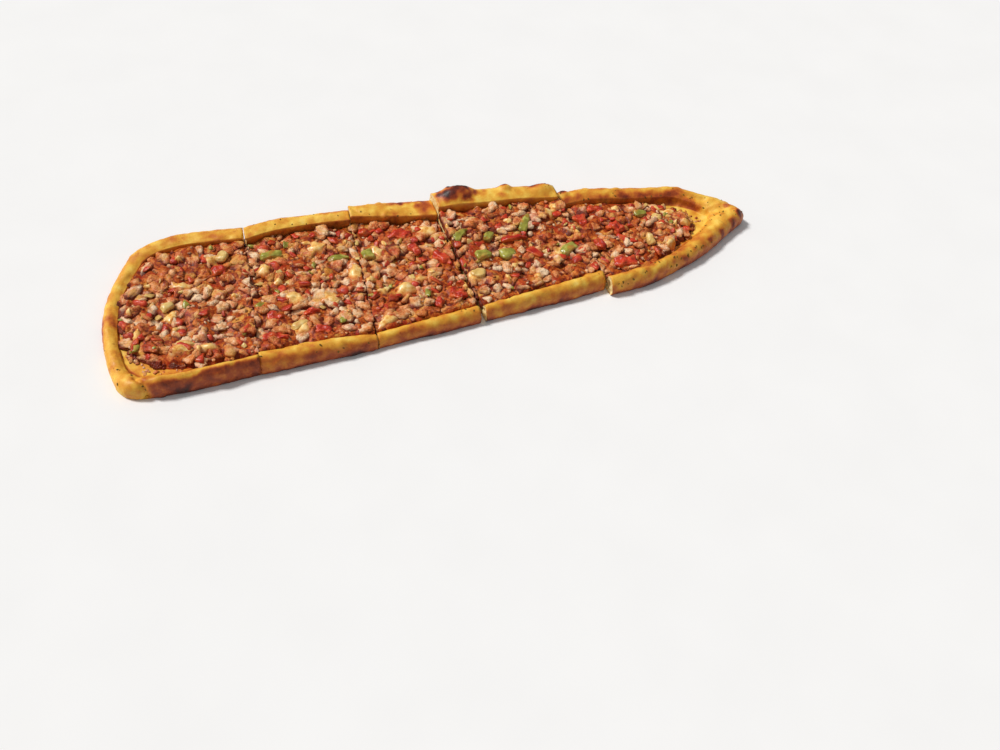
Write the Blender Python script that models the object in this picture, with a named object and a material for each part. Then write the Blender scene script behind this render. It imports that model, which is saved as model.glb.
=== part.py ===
"""A Turkish pide: a long boat of baked dough, filled with diced meat and vegetables and cut across.

It has five slices that still lie in the shape of the whole: a blunt end, three bars and a pointed
tip. Each slice is a dough tray with raised rims, and a heap of filling that runs through to the
cuts. The large pieces of pepper, tomato and onion sit in pockets of the filling.

Tables and helpers are in millimetres, and MM turns them into metres where a mesh is made.
+X runs along the pide to its tip, +Y from the front rim to the back rim, +Z up.
"""

import math
from collections import namedtuple

import bmesh
import bpy
from mathutils import Vector, noise

MM = 0.001

# Driving dimensions
GAP = 0.4  # clearance between a piece and the pocket or tray that holds it
SIDE_GAP = 0.6  # distance from the rim's inner foot to the filling, where the two meet
FLOOR = 5.0  # thickness of the baked base under the filling
FILL_DEPTH = 7.5  # thickness of the filling over the base
LUMP_HEIGHT = 2.6  # how far the lumps of the filling rise and fall
LUMP_SIZE = 13.0  # distance from one lump to the next
NOISE_LAYER = 3.7  # the slice through the noise that shapes the lumps
NOISE_GAIN = 1.6  # stretches the noise to about -1 to 1
THIN_EDGE = 3.2  # thickness of the filling where it ends on bare dough
EDGE_TAPER = 9.0  # how far in from that end it reaches its full thickness
EDGE_LUMPS = 0.4  # share of the lumps' height at the filling's edge
WIDE_BARE = 5.0  # width of bare floor at which the edge is as thin as it gets

RIM_WAVE = 0.7  # how far the rim's outer foot wanders in and out
CREST_WAVE = 0.05  # share by which the rim's height rises and falls
RIM_WAVE_LENGTH = 34.0
EDGE_WAVE = 1.5  # how far the filling's edge wanders where it ends on bare dough
EDGE_WAVE_LENGTH = 11.0

# How finely the lofts are divided
STATIONS_BAR = 9
STATIONS_END = 13
ACROSS = 9

# Cross-sections of a rim, from its outer foot over the crest to the tray's floor. The first number
# is the share of the rim's width, the second the share of its crest height. On the inner side no
# point is lower than the floor.
ROLL = (
    *((0.06, 0.0), (-0.03, 0.2), (-0.01, 0.46), (0.09, 0.7), (0.26, 0.9)),
    *((0.5, 1.0), (0.75, 0.92), (0.92, 0.68), (1.0, 0.0)),
)
FLAP = (
    *((0.05, 0.0), (-0.03, 0.25), (0.0, 0.6), (0.08, 0.86), (0.3, 0.98)),
    *((0.62, 1.0), (0.9, 0.94), (1.0, 0.8), (0.93, 0.0)),
)
LIP = (
    *((0.05, 0.0), (-0.02, 0.3), (0.04, 0.62), (0.18, 0.86), (0.38, 1.0)),
    *((0.6, 0.96), (0.8, 0.82), (0.93, 0.66), (1.0, 0.0)),
)

Rib = namedtuple("Rib", "outer inner edge crest roll flap floor")


def rib(outer, inner, crest, roll=0, flap=0, edge=None, floor=FLOOR):
    """One cross-section of the rim.

    outer and inner are the rim's feet in plan, and crest is its height. The filling starts at edge,
    or close to the inner foot where no edge is given. floor is the base's thickness there. roll and
    flap are the shares of those two shapes, and LIP takes what is left.
    """
    outer, inner = Vector(outer), Vector(inner)
    edge = Vector(edge) if edge else inner + (inner - outer).normalized() * SIDE_GAP
    return Rib(outer, inner, edge, crest, roll, flap, floor)


# The front and back rims of each slice, as ribs from left to right. The two rims of an end slice
# meet in one rib.
CLOSED_END = rib((-270.5, -28), (-259.5, -28), 9.5, edge=(-255.5, -27))
POINTED_TIP = rib((271.5, -13), (238, -8.5), 14, edge=(217.5, -5))
SLICES = {
    "slice_1": {
        "front": [
            CLOSED_END,
            rib((-269.5, -50), (-257.5, -46), 9.5, edge=(-251, -40)),
            rib((-265, -68), (-251, -60), 13, roll=0.4, edge=(-243, -50)),
            rib((-252, -75), (-242, -64.5), 15.5, roll=0.9, edge=(-234, -55)),
            rib((-226, -76.5), (-222, -66.5), 16, roll=1, edge=(-219, -60)),
            rib((-197, -76.5), (-195, -66.5), 16, roll=1, edge=(-194, -63)),
            rib((-169.2, -75.5), (-168, -64.5), 16, roll=1),
        ],
        "back": [
            CLOSED_END,
            rib((-270, -4), (-257.5, -6), 9, edge=(-254, -6)),
            rib((-264.5, 24), (-252.5, 18), 9, edge=(-250.5, 16.5)),
            rib((-251, 50), (-240.5, 41), 10.5, flap=0.2),
            rib((-234, 70), (-227, 57), 13, flap=0.5),
            rib((-207, 77.5), (-206, 62.5), 14.5, flap=0.8),
            rib((-181, 76.5), (-181.5, 61.5), 14.5, flap=1),
            rib((-152.6, 73.5), (-154.2, 59), 14.5, flap=1),
        ],
    },
    "slice_2": {
        "front": [
            rib((-168, -75.5), (-166.8, -61.5), 15.5, roll=1),
            rib((-138, -75.5), (-137, -62), 14.5, roll=1),
            rib((-108, -75), (-107, -62.5), 13.5, roll=1),
            rib((-81.2, -73.5), (-80.8, -64.5), 11.5, roll=1),
        ],
        "back": [
            rib((-151.2, 70), (-152.8, 54.5), 17.5, flap=1),
            rib((-124, 73), (-125, 58), 18.5, flap=1),
            rib((-96, 72), (-97.5, 58), 18.5, flap=1),
            rib((-66.8, 69), (-68.4, 54.5), 18.5, flap=1),
        ],
    },
    "slice_3": {
        "front": [
            rib((-79.8, -73), (-79.4, -64), 11.5, roll=1),
            rib((-52, -72), (-51.8, -62), 12, roll=1),
            rib((-24, -70.5), (-23.8, -60), 12.8, roll=1),
            rib((2.2, -69), (2.4, -58), 13.5, roll=1),
        ],
        "back": [
            rib((-65.2, 70.5), (-66.8, 55.5), 21, flap=1),
            rib((-42, 70.5), (-43.5, 51.5), 21, flap=1),
            rib((-18, 68.5), (-18.5, 47), 20, flap=1),
            rib((3.2, 66), (3, 43), 19, flap=1),
        ],
    },
    "slice_4": {
        "front": [
            rib((8, -68), (8, -59), 13, roll=1),
            rib((43, -67), (43, -56), 14, roll=1),
            rib((78, -64.5), (78, -52.5), 15, roll=1),
            rib((112.5, -61.5), (111.5, -48.5), 15.5, roll=1),
        ],
        "back": [
            rib((4.2, 65.5), (4.6, 43), 27, flap=1, floor=14),
            rib((38, 62), (38.5, 41), 27, flap=1, floor=14),
            rib((74, 57.5), (74, 38), 26.5, flap=1, floor=13.5),
            rib((108, 52), (108.6, 34), 26, flap=1, floor=13),
        ],
    },
    "slice_5": {
        "front": [
            rib((116.5, -69), (116, -56.5), 15, roll=1),
            rib((140, -67.5), (138, -55), 15.5, roll=1),
            rib((168, -62), (164, -50), 15.5, roll=1),
            rib((196, -52.5), (189, -40), 15, roll=0.9, edge=(187, -36.5)),
            rib((222, -42), (211, -29), 14.5, roll=0.6, edge=(206.5, -25.5)),
            rib((244, -29.5), (227, -18), 14, roll=0.3, edge=(214.5, -16.5)),
            rib((262, -20.5), (234.5, -11.5), 14.5, edge=(217.5, -9.5)),
            POINTED_TIP,
        ],
        "back": [
            rib((112.5, 49), (112.8, 32), 18, flap=0.6),
            rib((138, 48), (138, 31), 19, flap=0.5),
            rib((168, 42), (167, 26), 18.5, flap=0.5),
            rib((198, 37), (195, 21.5), 17.5, flap=0.5, edge=(194, 19.5)),
            rib((223, 32.5), (214, 18), 16.5, flap=0.4, edge=(206.5, 12.5)),
            rib((243, 19), (229, 8), 15, flap=0.2, edge=(214, 6)),
            rib((263, 5), (236.5, -2), 14.5, edge=(217, -0.5)),
            POINTED_TIP,
        ],
    },
}
CLOSED_AT_LEFT = ("slice_1",)
CLOSED_AT_RIGHT = ("slice_5",)
MERGE = 0.01  # points of a closed end that lie nearer than this become one
SHARP = 50  # angle in degrees from which an edge of the dough stays sharp

# Swellings on the crust: slice, centre (x, y), radii along x and y, height
BLISTERS = (
    ("slice_4", (24, 55), (19, 13), 6.5),
    ("slice_4", (66, 53), (7, 8), 3.0),
    ("slice_4", (98, 46), (13, 9), 3.5),
    ("slice_5", (118, 45), (7, 7), 2.5),
    ("slice_5", (262, -12), (11, 12), 2.0),
)

# Large pieces on the filling: slice, x, y, length, width, thickness, turn about Z in degrees, bend
# in degrees along the length
PIECES = {
    "green_pepper_1": ("slice_2", -137, 36, 18, 8, 6, 0, 40),
    "green_pepper_2": ("slice_2", -87, 19, 17, 9, 6, -3, 35),
    "green_pepper_3": ("slice_3", -63.5, 17, 10, 10, 6, 10, 25),
    "green_pepper_4": ("slice_2", -156.5, -17, 8, 8, 6, 25, 20),
    "green_pepper_5": ("slice_4", 14, 14, 18, 9, 6, 35, 40),
    "green_pepper_6": ("slice_4", 24.5, -12, 13, 12, 8, 0, 10),
    "green_pepper_7": ("slice_4", 45, -14.5, 14, 12, 8, 10, 10),
    "green_pepper_8": ("slice_4", 71, 15, 23, 9, 7, 55, 45),
    "green_pepper_9": ("slice_4", 96.5, -21, 18, 9, 6, 20, 40),
    "green_pepper_10": ("slice_4", 36, 7.5, 13, 7, 6, 45, 30),
    "green_pepper_11": ("slice_5", 177, 8, 11, 7, 6, 0, 30),
    "tomato_1": ("slice_1", -179, 27.5, 13, 12, 8, -25, 10),
    "tomato_2": ("slice_2", -152, -51, 20, 12, 8, -15, 15),
    "tomato_3": ("slice_2", -118, -53, 13, 9, 7, -6, 10),
    "tomato_4": ("slice_2", -148, -31, 13, 10, 7, -25, 10),
    "tomato_5": ("slice_2", -121, -33, 13, 8, 7, -6, 10),
    "tomato_6": ("slice_3", -33, 33, 20, 12, 8, -14, 15),
    "tomato_7": ("slice_3", -57, 43, 14, 9, 7, -4, 10),
    "tomato_8": ("slice_3", -26, 13, 13, 9, 7, -70, 10),
    "tomato_9": ("slice_3", -8, -3, 19, 13, 8, -62, 15),
    "tomato_10": ("slice_3", -69, -45, 10, 8, 7, -3, 10),
    "tomato_11": ("slice_3", -25, -50, 10, 10, 7, 23, 10),
    "tomato_12": ("slice_3", -8, -44, 15, 12, 8, -50, 15),
    "tomato_13": ("slice_5", 121.5, 12, 14, 13, 8, -77, 15),
    "tomato_14": ("slice_5", 124, -20, 15, 13, 8, -60, 10),
    "tomato_15": ("slice_5", 138, -45, 21, 13, 8, -10, 15),
    "tomato_16": ("slice_5", 148, -4, 14, 13, 8, -64, 10),
    "tomato_17": ("slice_5", 139, 23, 14, 8, 7, -8, 10),
    "red_pepper_1": ("slice_4", 56, 1, 22, 7, 6, -6, 35),
    "red_pepper_2": ("slice_4", 67, -19, 15, 8, 6, -50, 30),
    "onion_1": ("slice_5", 171, -24, 15, 8, 7, 80, 30),
    "onion_2": ("slice_5", 189, 0, 9, 8, 6, -36, 15),
    "onion_3": ("slice_1", -174, 43.5, 12, 9, 6, 60, 20),
    "onion_4": ("slice_1", -222, -1, 11, 7, 6, 30, 25),
    "onion_5": ("slice_1", -215, -41, 15, 7, 6, -15, 35),
    "onion_6": ("slice_2", -132.5, -45, 14, 9, 6, 20, 20),
    "onion_7": ("slice_4", 14.5, -29, 12, 9, 6, -10, 20),
}
PIECE_SINK = 1.5  # how far a piece's middle lies under the filling's mean surface
POCKET_OPEN = 12.0  # how far a pocket's cutter reaches above the piece
PIECE_TURNS = 8
PIECE_RINGS = 5
PIECE_ROUNDNESS = 0.62  # 1 is an ellipsoid, 0 a box

COLOURS = {
    "baked_dough": ((0.72, 0.42, 0.10), 0.55),
    "meat_filling": ((0.38, 0.13, 0.05), 0.40),
    "green_pepper": ((0.20, 0.26, 0.04), 0.30),
    "tomato": ((0.55, 0.05, 0.02), 0.25),
    "red_pepper": ((0.50, 0.04, 0.02), 0.28),
    "onion": ((0.80, 0.66, 0.38), 0.35),
}


def clear_scene():
    for obj in list(bpy.data.objects):
        bpy.data.objects.remove(obj)


def collection(name):
    made = bpy.data.collections.new(name)
    bpy.context.scene.collection.children.link(made)
    return made


def material(name):
    """A plain finish of one colour."""
    colour, roughness = COLOURS[name]
    made = bpy.data.materials.new(name)
    made.use_nodes = True
    shader = made.node_tree.nodes["Principled BSDF"]
    shader.inputs["Base Color"].default_value = (*colour, 1)
    shader.inputs["Roughness"].default_value = roughness
    shader.inputs["Metallic"].default_value = 0
    return made


def smooth_value(before, start, end, after, t):
    """A value or point between start and end on the Catmull-Rom curve through four of them."""
    slope = end - before
    bend = before * 2 - start * 5 + end * 4 - after
    turn = (start - end) * 3 + after - before
    return start + (slope + (bend + turn * t) * t) * (t / 2)


def sampled(controls, count):
    """count ribs along the smooth curve through the control ribs."""
    first = [a * 2 - b for a, b in zip(controls[0], controls[1])]
    last = [a * 2 - b for a, b in zip(controls[-1], controls[-2])]
    row = [first, *controls, last]
    spans = len(controls) - 1
    made = []
    for i in range(count):
        place = spans * i / (count - 1)
        k = min(int(place), spans - 1)
        four = row[k : k + 4]
        made.append(Rib(*(smooth_value(*values, place - k) for values in zip(*four))))
    return made


def waves(place, length):
    """A smooth random value at a place, from -1 to 1."""
    return noise.noise(Vector((*place / length, NOISE_LAYER))) * NOISE_GAIN


def hand_shaped(at):
    """The rib with its outer foot, its crest and the filling's edge a little off, as if by hand."""
    inward = (at.inner - at.outer).normalized()
    bare = min(1, ((at.edge - at.inner).length - SIDE_GAP) / WIDE_BARE)
    return at._replace(
        outer=at.outer + inward * RIM_WAVE * waves(at.outer, RIM_WAVE_LENGTH),
        edge=at.edge + inward * EDGE_WAVE * bare * waves(at.edge, EDGE_WAVE_LENGTH),
        crest=at.crest * (1 + CREST_WAVE * waves(at.inner, RIM_WAVE_LENGTH)),
    )


def ribs_of(name):
    """The front and back ribs of a slice, station by station."""
    count = STATIONS_END if name in CLOSED_AT_LEFT + CLOSED_AT_RIGHT else STATIONS_BAR
    rims = [sampled(SLICES[name][side], count) for side in ("front", "back")]
    return [[hand_shaped(at) for at in rim] for rim in rims]


def rim_points(at):
    """A rib's cross-section as points in space, from the outer foot to the floor."""
    points = []
    for roll, flap, lip in zip(ROLL, FLAP, LIP):
        share, height = (
            at.roll * a + at.flap * b + (1 - at.roll - at.flap) * c for a, b, c in zip(roll, flap, lip)
        )
        height *= at.crest
        if share > 0.5:
            height = max(height, at.floor)
        points.append(Vector((*at.outer.lerp(at.inner, share), height)))
    return points


def raised(name, point):
    """The point, lifted where a blister swells the crust."""
    for owner, centre, radii, height in BLISTERS:
        if owner == name and point.z > FLOOR:
            away = math.hypot((point.x - centre[0]) / radii[0], (point.y - centre[1]) / radii[1])
            if away < 1:
                point = point + Vector((0, 0, height * (1 - away * away) ** 1.5))
    return point


def loft(name, sections, closed_left, closed_right):
    """A solid through closed sections. A cut end gets a cap; a closed end draws together."""
    mesh = bmesh.new()
    rings = [[mesh.verts.new(point * MM) for point in section] for section in sections]
    for ring, following in zip(rings, rings[1:]):
        for i in range(len(ring)):
            j = (i + 1) % len(ring)
            mesh.faces.new((ring[i], ring[j], following[j], following[i]))
    if not closed_left:
        mesh.faces.new(rings[0][::-1])
    if not closed_right:
        mesh.faces.new(rings[-1])
    bmesh.ops.remove_doubles(mesh, verts=mesh.verts, dist=MERGE * MM)
    bmesh.ops.triangulate(mesh, faces=mesh.faces)
    bmesh.ops.recalc_face_normals(mesh, faces=mesh.faces)
    data = bpy.data.meshes.new(name)
    mesh.to_mesh(data)
    mesh.free()
    return data


def dough_tray(name, finish, home):
    """The baked base of a slice with its raised rims."""
    front, back = ribs_of(name)
    sections = []
    for near, far in zip(front, back):
        near_rim = [raised(name, point) for point in rim_points(near)]
        far_rim = [raised(name, point) for point in rim_points(far)]
        sections.append(near_rim + far_rim[::-1])
    data = loft(name, sections, name in CLOSED_AT_LEFT, name in CLOSED_AT_RIGHT)
    tray = bpy.data.objects.new(name + "_dough", data)
    tray.data.materials.append(finish)
    tray.data.shade_smooth()
    tray.data.set_sharp_from_angle(angle=math.radians(SHARP))
    home.objects.link(tray)
    return tray


def mix(a, b, t):
    return a + (b - a) * t


def filling_heap(name, finish, home):
    """The heap of meat and vegetables on a tray, out to its uneven outline."""
    front, back = ribs_of(name)
    sections = []
    for near, far in zip(front, back):
        span = (far.edge - near.edge).length
        top = []
        for i in range(ACROSS):
            t = i / (ACROSS - 1)
            place = near.edge.lerp(far.edge, t)
            inside = min(1, min(t, 1 - t) * span / EDGE_TAPER)
            bare = mix((near.edge - near.inner).length, (far.edge - far.inner).length, t) - SIDE_GAP
            full = FILL_DEPTH + LUMP_HEIGHT * waves(place, LUMP_SIZE) * min(1, inside + EDGE_LUMPS)
            depth = mix(full, THIN_EDGE, min(1, bare / WIDE_BARE) * (1 - inside))
            top.append(Vector((*place, mix(near.floor, far.floor, t) + GAP + depth)))
        bottom = [Vector((*far.edge, far.floor + GAP)), Vector((*near.edge, near.floor + GAP))]
        sections.append(top + bottom)
    data = loft(name, sections, name in CLOSED_AT_LEFT, name in CLOSED_AT_RIGHT)
    heap = bpy.data.objects.new(name + "_filling", data)
    heap.data.materials.append(finish)
    home.objects.link(heap)
    return heap


def heap_height(name, y):
    """The mean height of the filling's surface at a distance from front to back."""
    front, back = SLICES[name]["front"][1], SLICES[name]["back"][1]
    t = min(1, max(0, (y - front.inner.y) / (back.inner.y - front.inner.y)))
    return mix(front.floor, back.floor, t) + GAP + FILL_DEPTH


def rounded_dice(name, length, width, thickness, bend, open_above):
    """A dice of vegetable with soft corners, bent along its length like the wall it came from.

    A cutter's upper half stands higher by open_above, and its lower half is as long as the upper
    one, so the pocket it cuts has upright walls and no roof.
    """
    mesh = bmesh.new()
    bmesh.ops.create_uvsphere(mesh, u_segments=PIECE_TURNS, v_segments=PIECE_RINGS, radius=1)
    for vert in mesh.verts:
        boxy = [math.copysign(abs(c) ** PIECE_ROUNDNESS, c) for c in vert.co]
        x, y, z = boxy[0] * length / 2, boxy[1] * width / 2, boxy[2] * thickness / 2
        angle = math.radians(bend) * x / length
        lever = length / math.radians(bend)
        reach = lever + (abs(z) if open_above else z)
        bent = Vector((reach * math.sin(angle), y, (lever + z) * math.cos(angle) - lever))
        if z > 0:
            bent.z += open_above
        vert.co = bent * MM
    bmesh.ops.triangulate(mesh, faces=mesh.faces)
    data = bpy.data.meshes.new(name)
    mesh.to_mesh(data)
    mesh.free()
    return data


def set_piece(name, finish, home, cutters, heaps):
    """A large piece in a pocket of the filling, which a slightly larger copy of it cuts."""
    owner, x, y, length, width, thickness, turn, bend = PIECES[name]
    place = Vector((x, y, heap_height(owner, y) - PIECE_SINK)) * MM
    versions = ((name, 0, 0), (name + "_pocket", 2 * GAP, POCKET_OPEN))
    for made_name, extra, above in versions:
        data = rounded_dice(made_name, length + extra, width + extra, thickness + extra, bend, above)
        made = bpy.data.objects.new(made_name, data)
        made.location = place
        made.rotation_euler.z = math.radians(turn)
        made.data.materials.append(finish)
        made.data.shade_smooth()
        (cutters if extra else home).objects.link(made)
        if extra:
            made.hide_render = True
            made.display_type = "WIRE"
            pocket = heaps[owner].modifiers.new(made_name, "BOOLEAN")
            pocket.operation = "DIFFERENCE"
            pocket.object = made


def centre_over_origin(objects):
    """Moves everything so that the middle of the pide's underside is at the origin."""
    bpy.context.view_layer.update()
    solids = [obj for obj in objects if not obj.hide_render]
    corners = [obj.matrix_world @ Vector(corner) for obj in solids for corner in obj.bound_box]
    low = Vector([min(corner[k] for corner in corners) for k in range(3)])
    high = Vector([max(corner[k] for corner in corners) for k in range(3)])
    shift = Vector(((low.x + high.x) / 2, (low.y + high.y) / 2, low.z))
    for obj in objects:
        obj.location -= shift
    print("moved by", shift / MM, "mm, size", (high - low) / MM, "mm")


def main():
    clear_scene()
    home = collection("pide")
    cutters = collection("pockets")
    finishes = {name: material(name) for name in COLOURS}
    heaps = {}
    for name in SLICES:
        dough_tray(name, finishes["baked_dough"], home)
        heaps[name] = filling_heap(name, finishes["meat_filling"], home)
    for name in PIECES:
        kind = name.rsplit("_", 1)[0]
        set_piece(name, finishes[kind], home, cutters, heaps)
    centre_over_origin([*home.objects, *cutters.objects])


main()
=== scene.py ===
# %% [markdown]
# # A Turkish pide in five slices
#
# A pide is a long boat of bread dough. Its rims are folded up by hand around a filling of diced
# meat, tomato, pepper, onion and a little cheese, it is baked hot and fast, and then it is cut
# across. The solid model holds its sizes: a dough tray and a heap of filling for each slice, and
# the large pieces of vegetable. This lesson dresses those solids. It builds the dough again as a
# fine skin with folds, blisters and toasted spots, and fills it with real meshes of diced meat,
# sauce and vegetables.
#
# The first lines load the solids as a fixed frame. Nothing in the frame is moved or reshaped.

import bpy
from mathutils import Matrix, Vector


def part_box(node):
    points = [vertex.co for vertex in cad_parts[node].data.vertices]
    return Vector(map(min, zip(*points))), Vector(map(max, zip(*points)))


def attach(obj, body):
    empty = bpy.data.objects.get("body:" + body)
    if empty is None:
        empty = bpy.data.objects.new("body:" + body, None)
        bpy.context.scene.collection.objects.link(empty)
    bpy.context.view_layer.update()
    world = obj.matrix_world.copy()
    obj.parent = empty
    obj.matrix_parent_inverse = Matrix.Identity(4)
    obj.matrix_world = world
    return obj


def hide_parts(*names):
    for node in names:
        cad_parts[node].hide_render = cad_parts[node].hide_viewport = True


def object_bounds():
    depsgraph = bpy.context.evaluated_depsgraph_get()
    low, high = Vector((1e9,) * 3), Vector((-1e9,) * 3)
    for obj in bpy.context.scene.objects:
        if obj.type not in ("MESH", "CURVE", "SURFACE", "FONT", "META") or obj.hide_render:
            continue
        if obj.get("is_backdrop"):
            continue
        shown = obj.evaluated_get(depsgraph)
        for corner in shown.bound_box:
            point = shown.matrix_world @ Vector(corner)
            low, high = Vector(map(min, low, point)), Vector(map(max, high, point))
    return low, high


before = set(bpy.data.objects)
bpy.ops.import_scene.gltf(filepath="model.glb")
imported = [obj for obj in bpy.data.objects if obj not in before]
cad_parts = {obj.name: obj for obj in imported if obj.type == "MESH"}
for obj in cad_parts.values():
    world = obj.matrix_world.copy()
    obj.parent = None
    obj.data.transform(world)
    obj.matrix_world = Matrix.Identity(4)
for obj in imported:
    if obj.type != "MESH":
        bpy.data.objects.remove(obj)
solid_box = [list(corner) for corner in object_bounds()]

import itertools
import math
from collections import namedtuple

import bpy
import numpy as np
from mathutils import Euler, Vector, noise

print("solid parts:", len(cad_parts))
print("box of the solids in mm:", [[round(1000 * value, 1) for value in corner] for corner in solid_box])

# %% [markdown]
# ## Working units and noise
#
# The tables below are in millimetres, because a cook or a maker thinks in them, and one factor
# turns them into Blender's metres when a mesh is made. Hand-made food is never even, so nearly
# every step asks the same question: how much higher or lower than average is this place? Perlin
# noise answers it with a smooth random value that is the same in every run. A fixed seed does the
# same for the random numbers that scatter the filling.

# %% Units, seed and noise
MM = 0.001
NOISE_GAIN = 1.6  # stretches Blender's noise to about -1 to 1
NOISE_LAYER = 3.7  # the slice through the noise that the solids use too
LAYER_STEP = np.array([1.0, 7.1, 3.3])  # moves one layer of noise well away from the next
chance = np.random.default_rng(12)


def waves(points, length, layer=NOISE_LAYER):
    """Smooth random values, one for each point, for lumps that are about length apart."""
    places = np.atleast_2d(points) / length
    if places.shape[1] == 2:
        places = np.column_stack([places, np.full(len(places), layer)])
    else:
        places = places + layer * LAYER_STEP
    return NOISE_GAIN * np.array([noise.noise(place) for place in places.tolist()])


def unit(vectors):
    """Vectors of length one, along the same directions."""
    return vectors / np.maximum(np.linalg.norm(vectors, axis=-1, keepdims=True), 1e-9)


def eased(values):
    """0 below 0, 1 above 1, and a soft S between them."""
    t = np.clip(values, 0, 1)
    return t * t * (3 - 2 * t)


print("noise at three places:", waves([[0, 0, 0], [9, 4, 2], [30, 12, 5]], 8).round(2))

# %% [markdown]
# ## The ribs of the boat
#
# A boat builder draws a hull as ribs, and the dough is drawn in the same way. Each rib is one
# cross-section of the folded rim: where its outer foot stands, where its inner foot meets the
# base, how high its crest is, and where the filling begins. Three shapes are blended: a roll, a
# flat flap that leans over the filling, and a plain lip. The solids were lofted through the same
# ribs, so the fine skin lands on them without fitting.

# %% The rims, rib by rib
SIDE_GAP = 0.6  # distance from the rim's inner foot to the filling, where the two meet
FLOOR = 5.0  # thickness of the baked base under the filling
ROLL = (
    *((0.06, 0.0), (-0.03, 0.2), (-0.01, 0.46), (0.09, 0.7), (0.26, 0.9)),
    *((0.5, 1.0), (0.75, 0.92), (0.92, 0.68), (1.0, 0.0)),
)
FLAP = (
    *((0.05, 0.0), (-0.03, 0.25), (0.0, 0.6), (0.08, 0.86), (0.3, 0.98)),
    *((0.62, 1.0), (0.9, 0.94), (1.0, 0.8), (0.93, 0.0)),
)
LIP = (
    *((0.05, 0.0), (-0.02, 0.3), (0.04, 0.62), (0.18, 0.86), (0.38, 1.0)),
    *((0.6, 0.96), (0.8, 0.82), (0.93, 0.66), (1.0, 0.0)),
)


def rib(outer, inner, crest, roll=0, flap=0, edge=None, floor=FLOOR):
    """One cross-section of a rim as a row of ten numbers."""
    if edge is None:
        inward = unit(np.subtract(inner, outer))
        edge = np.add(inner, inward * SIDE_GAP)
    return [*outer, *inner, *edge, crest, roll, flap, floor]


CLOSED_END = rib((-270.5, -28), (-259.5, -28), 9.5, edge=(-255.5, -27))
POINTED_TIP = rib((271.5, -13), (238, -8.5), 14, edge=(217.5, -5))
SLICES = {
    "slice_1": {
        "front": [
            CLOSED_END,
            rib((-269.5, -50), (-257.5, -46), 9.5, edge=(-251, -40)),
            rib((-265, -68), (-251, -60), 13, roll=0.4, edge=(-243, -50)),
            rib((-252, -75), (-242, -64.5), 15.5, roll=0.9, edge=(-234, -55)),
            rib((-226, -76.5), (-222, -66.5), 16, roll=1, edge=(-219, -60)),
            rib((-197, -76.5), (-195, -66.5), 16, roll=1, edge=(-194, -63)),
            rib((-169.2, -75.5), (-168, -64.5), 16, roll=1),
        ],
        "back": [
            CLOSED_END,
            rib((-270, -4), (-257.5, -6), 9, edge=(-254, -6)),
            rib((-264.5, 24), (-252.5, 18), 9, edge=(-250.5, 16.5)),
            rib((-251, 50), (-240.5, 41), 10.5, flap=0.2),
            rib((-234, 70), (-227, 57), 13, flap=0.5),
            rib((-207, 77.5), (-206, 62.5), 14.5, flap=0.8),
            rib((-181, 76.5), (-181.5, 61.5), 14.5, flap=1),
            rib((-152.6, 73.5), (-154.2, 59), 14.5, flap=1),
        ],
    },
    "slice_2": {
        "front": [
            rib((-168, -75.5), (-166.8, -61.5), 15.5, roll=1),
            rib((-138, -75.5), (-137, -62), 14.5, roll=1),
            rib((-108, -75), (-107, -62.5), 13.5, roll=1),
            rib((-81.2, -73.5), (-80.8, -64.5), 11.5, roll=1),
        ],
        "back": [
            rib((-151.2, 70), (-152.8, 54.5), 17.5, flap=1),
            rib((-124, 73), (-125, 58), 18.5, flap=1),
            rib((-96, 72), (-97.5, 58), 18.5, flap=1),
            rib((-66.8, 69), (-68.4, 54.5), 18.5, flap=1),
        ],
    },
    "slice_3": {
        "front": [
            rib((-79.8, -73), (-79.4, -64), 11.5, roll=1),
            rib((-52, -72), (-51.8, -62), 12, roll=1),
            rib((-24, -70.5), (-23.8, -60), 12.8, roll=1),
            rib((2.2, -69), (2.4, -58), 13.5, roll=1),
        ],
        "back": [
            rib((-65.2, 70.5), (-66.8, 55.5), 21, flap=1),
            rib((-42, 70.5), (-43.5, 51.5), 21, flap=1),
            rib((-18, 68.5), (-18.5, 47), 20, flap=1),
            rib((3.2, 66), (3, 43), 19, flap=1),
        ],
    },
    "slice_4": {
        "front": [
            rib((8, -68), (8, -59), 13, roll=1),
            rib((43, -67), (43, -56), 14, roll=1),
            rib((78, -64.5), (78, -52.5), 15, roll=1),
            rib((112.5, -61.5), (111.5, -48.5), 15.5, roll=1),
        ],
        "back": [
            rib((4.2, 65.5), (4.6, 43), 27, flap=1, floor=14),
            rib((38, 62), (38.5, 41), 27, flap=1, floor=14),
            rib((74, 57.5), (74, 38), 26.5, flap=1, floor=13.5),
            rib((108, 52), (108.6, 34), 26, flap=1, floor=13),
        ],
    },
    "slice_5": {
        "front": [
            rib((116.5, -69), (116, -56.5), 15, roll=1),
            rib((140, -67.5), (138, -55), 15.5, roll=1),
            rib((168, -62), (164, -50), 15.5, roll=1),
            rib((196, -52.5), (189, -40), 15, roll=0.9, edge=(187, -36.5)),
            rib((222, -42), (211, -29), 14.5, roll=0.6, edge=(206.5, -25.5)),
            rib((244, -29.5), (227, -18), 14, roll=0.3, edge=(214.5, -16.5)),
            rib((262, -20.5), (234.5, -11.5), 14.5, edge=(217.5, -9.5)),
            POINTED_TIP,
        ],
        "back": [
            rib((112.5, 49), (112.8, 32), 18, flap=0.6),
            rib((138, 48), (138, 31), 19, flap=0.5),
            rib((168, 42), (167, 26), 18.5, flap=0.5),
            rib((198, 37), (195, 21.5), 17.5, flap=0.5, edge=(194, 19.5)),
            rib((223, 32.5), (214, 18), 16.5, flap=0.4, edge=(206.5, 12.5)),
            rib((243, 19), (229, 8), 15, flap=0.2, edge=(214, 6)),
            rib((263, 5), (236.5, -2), 14.5, edge=(217, -0.5)),
            POINTED_TIP,
        ],
    },
}
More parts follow.
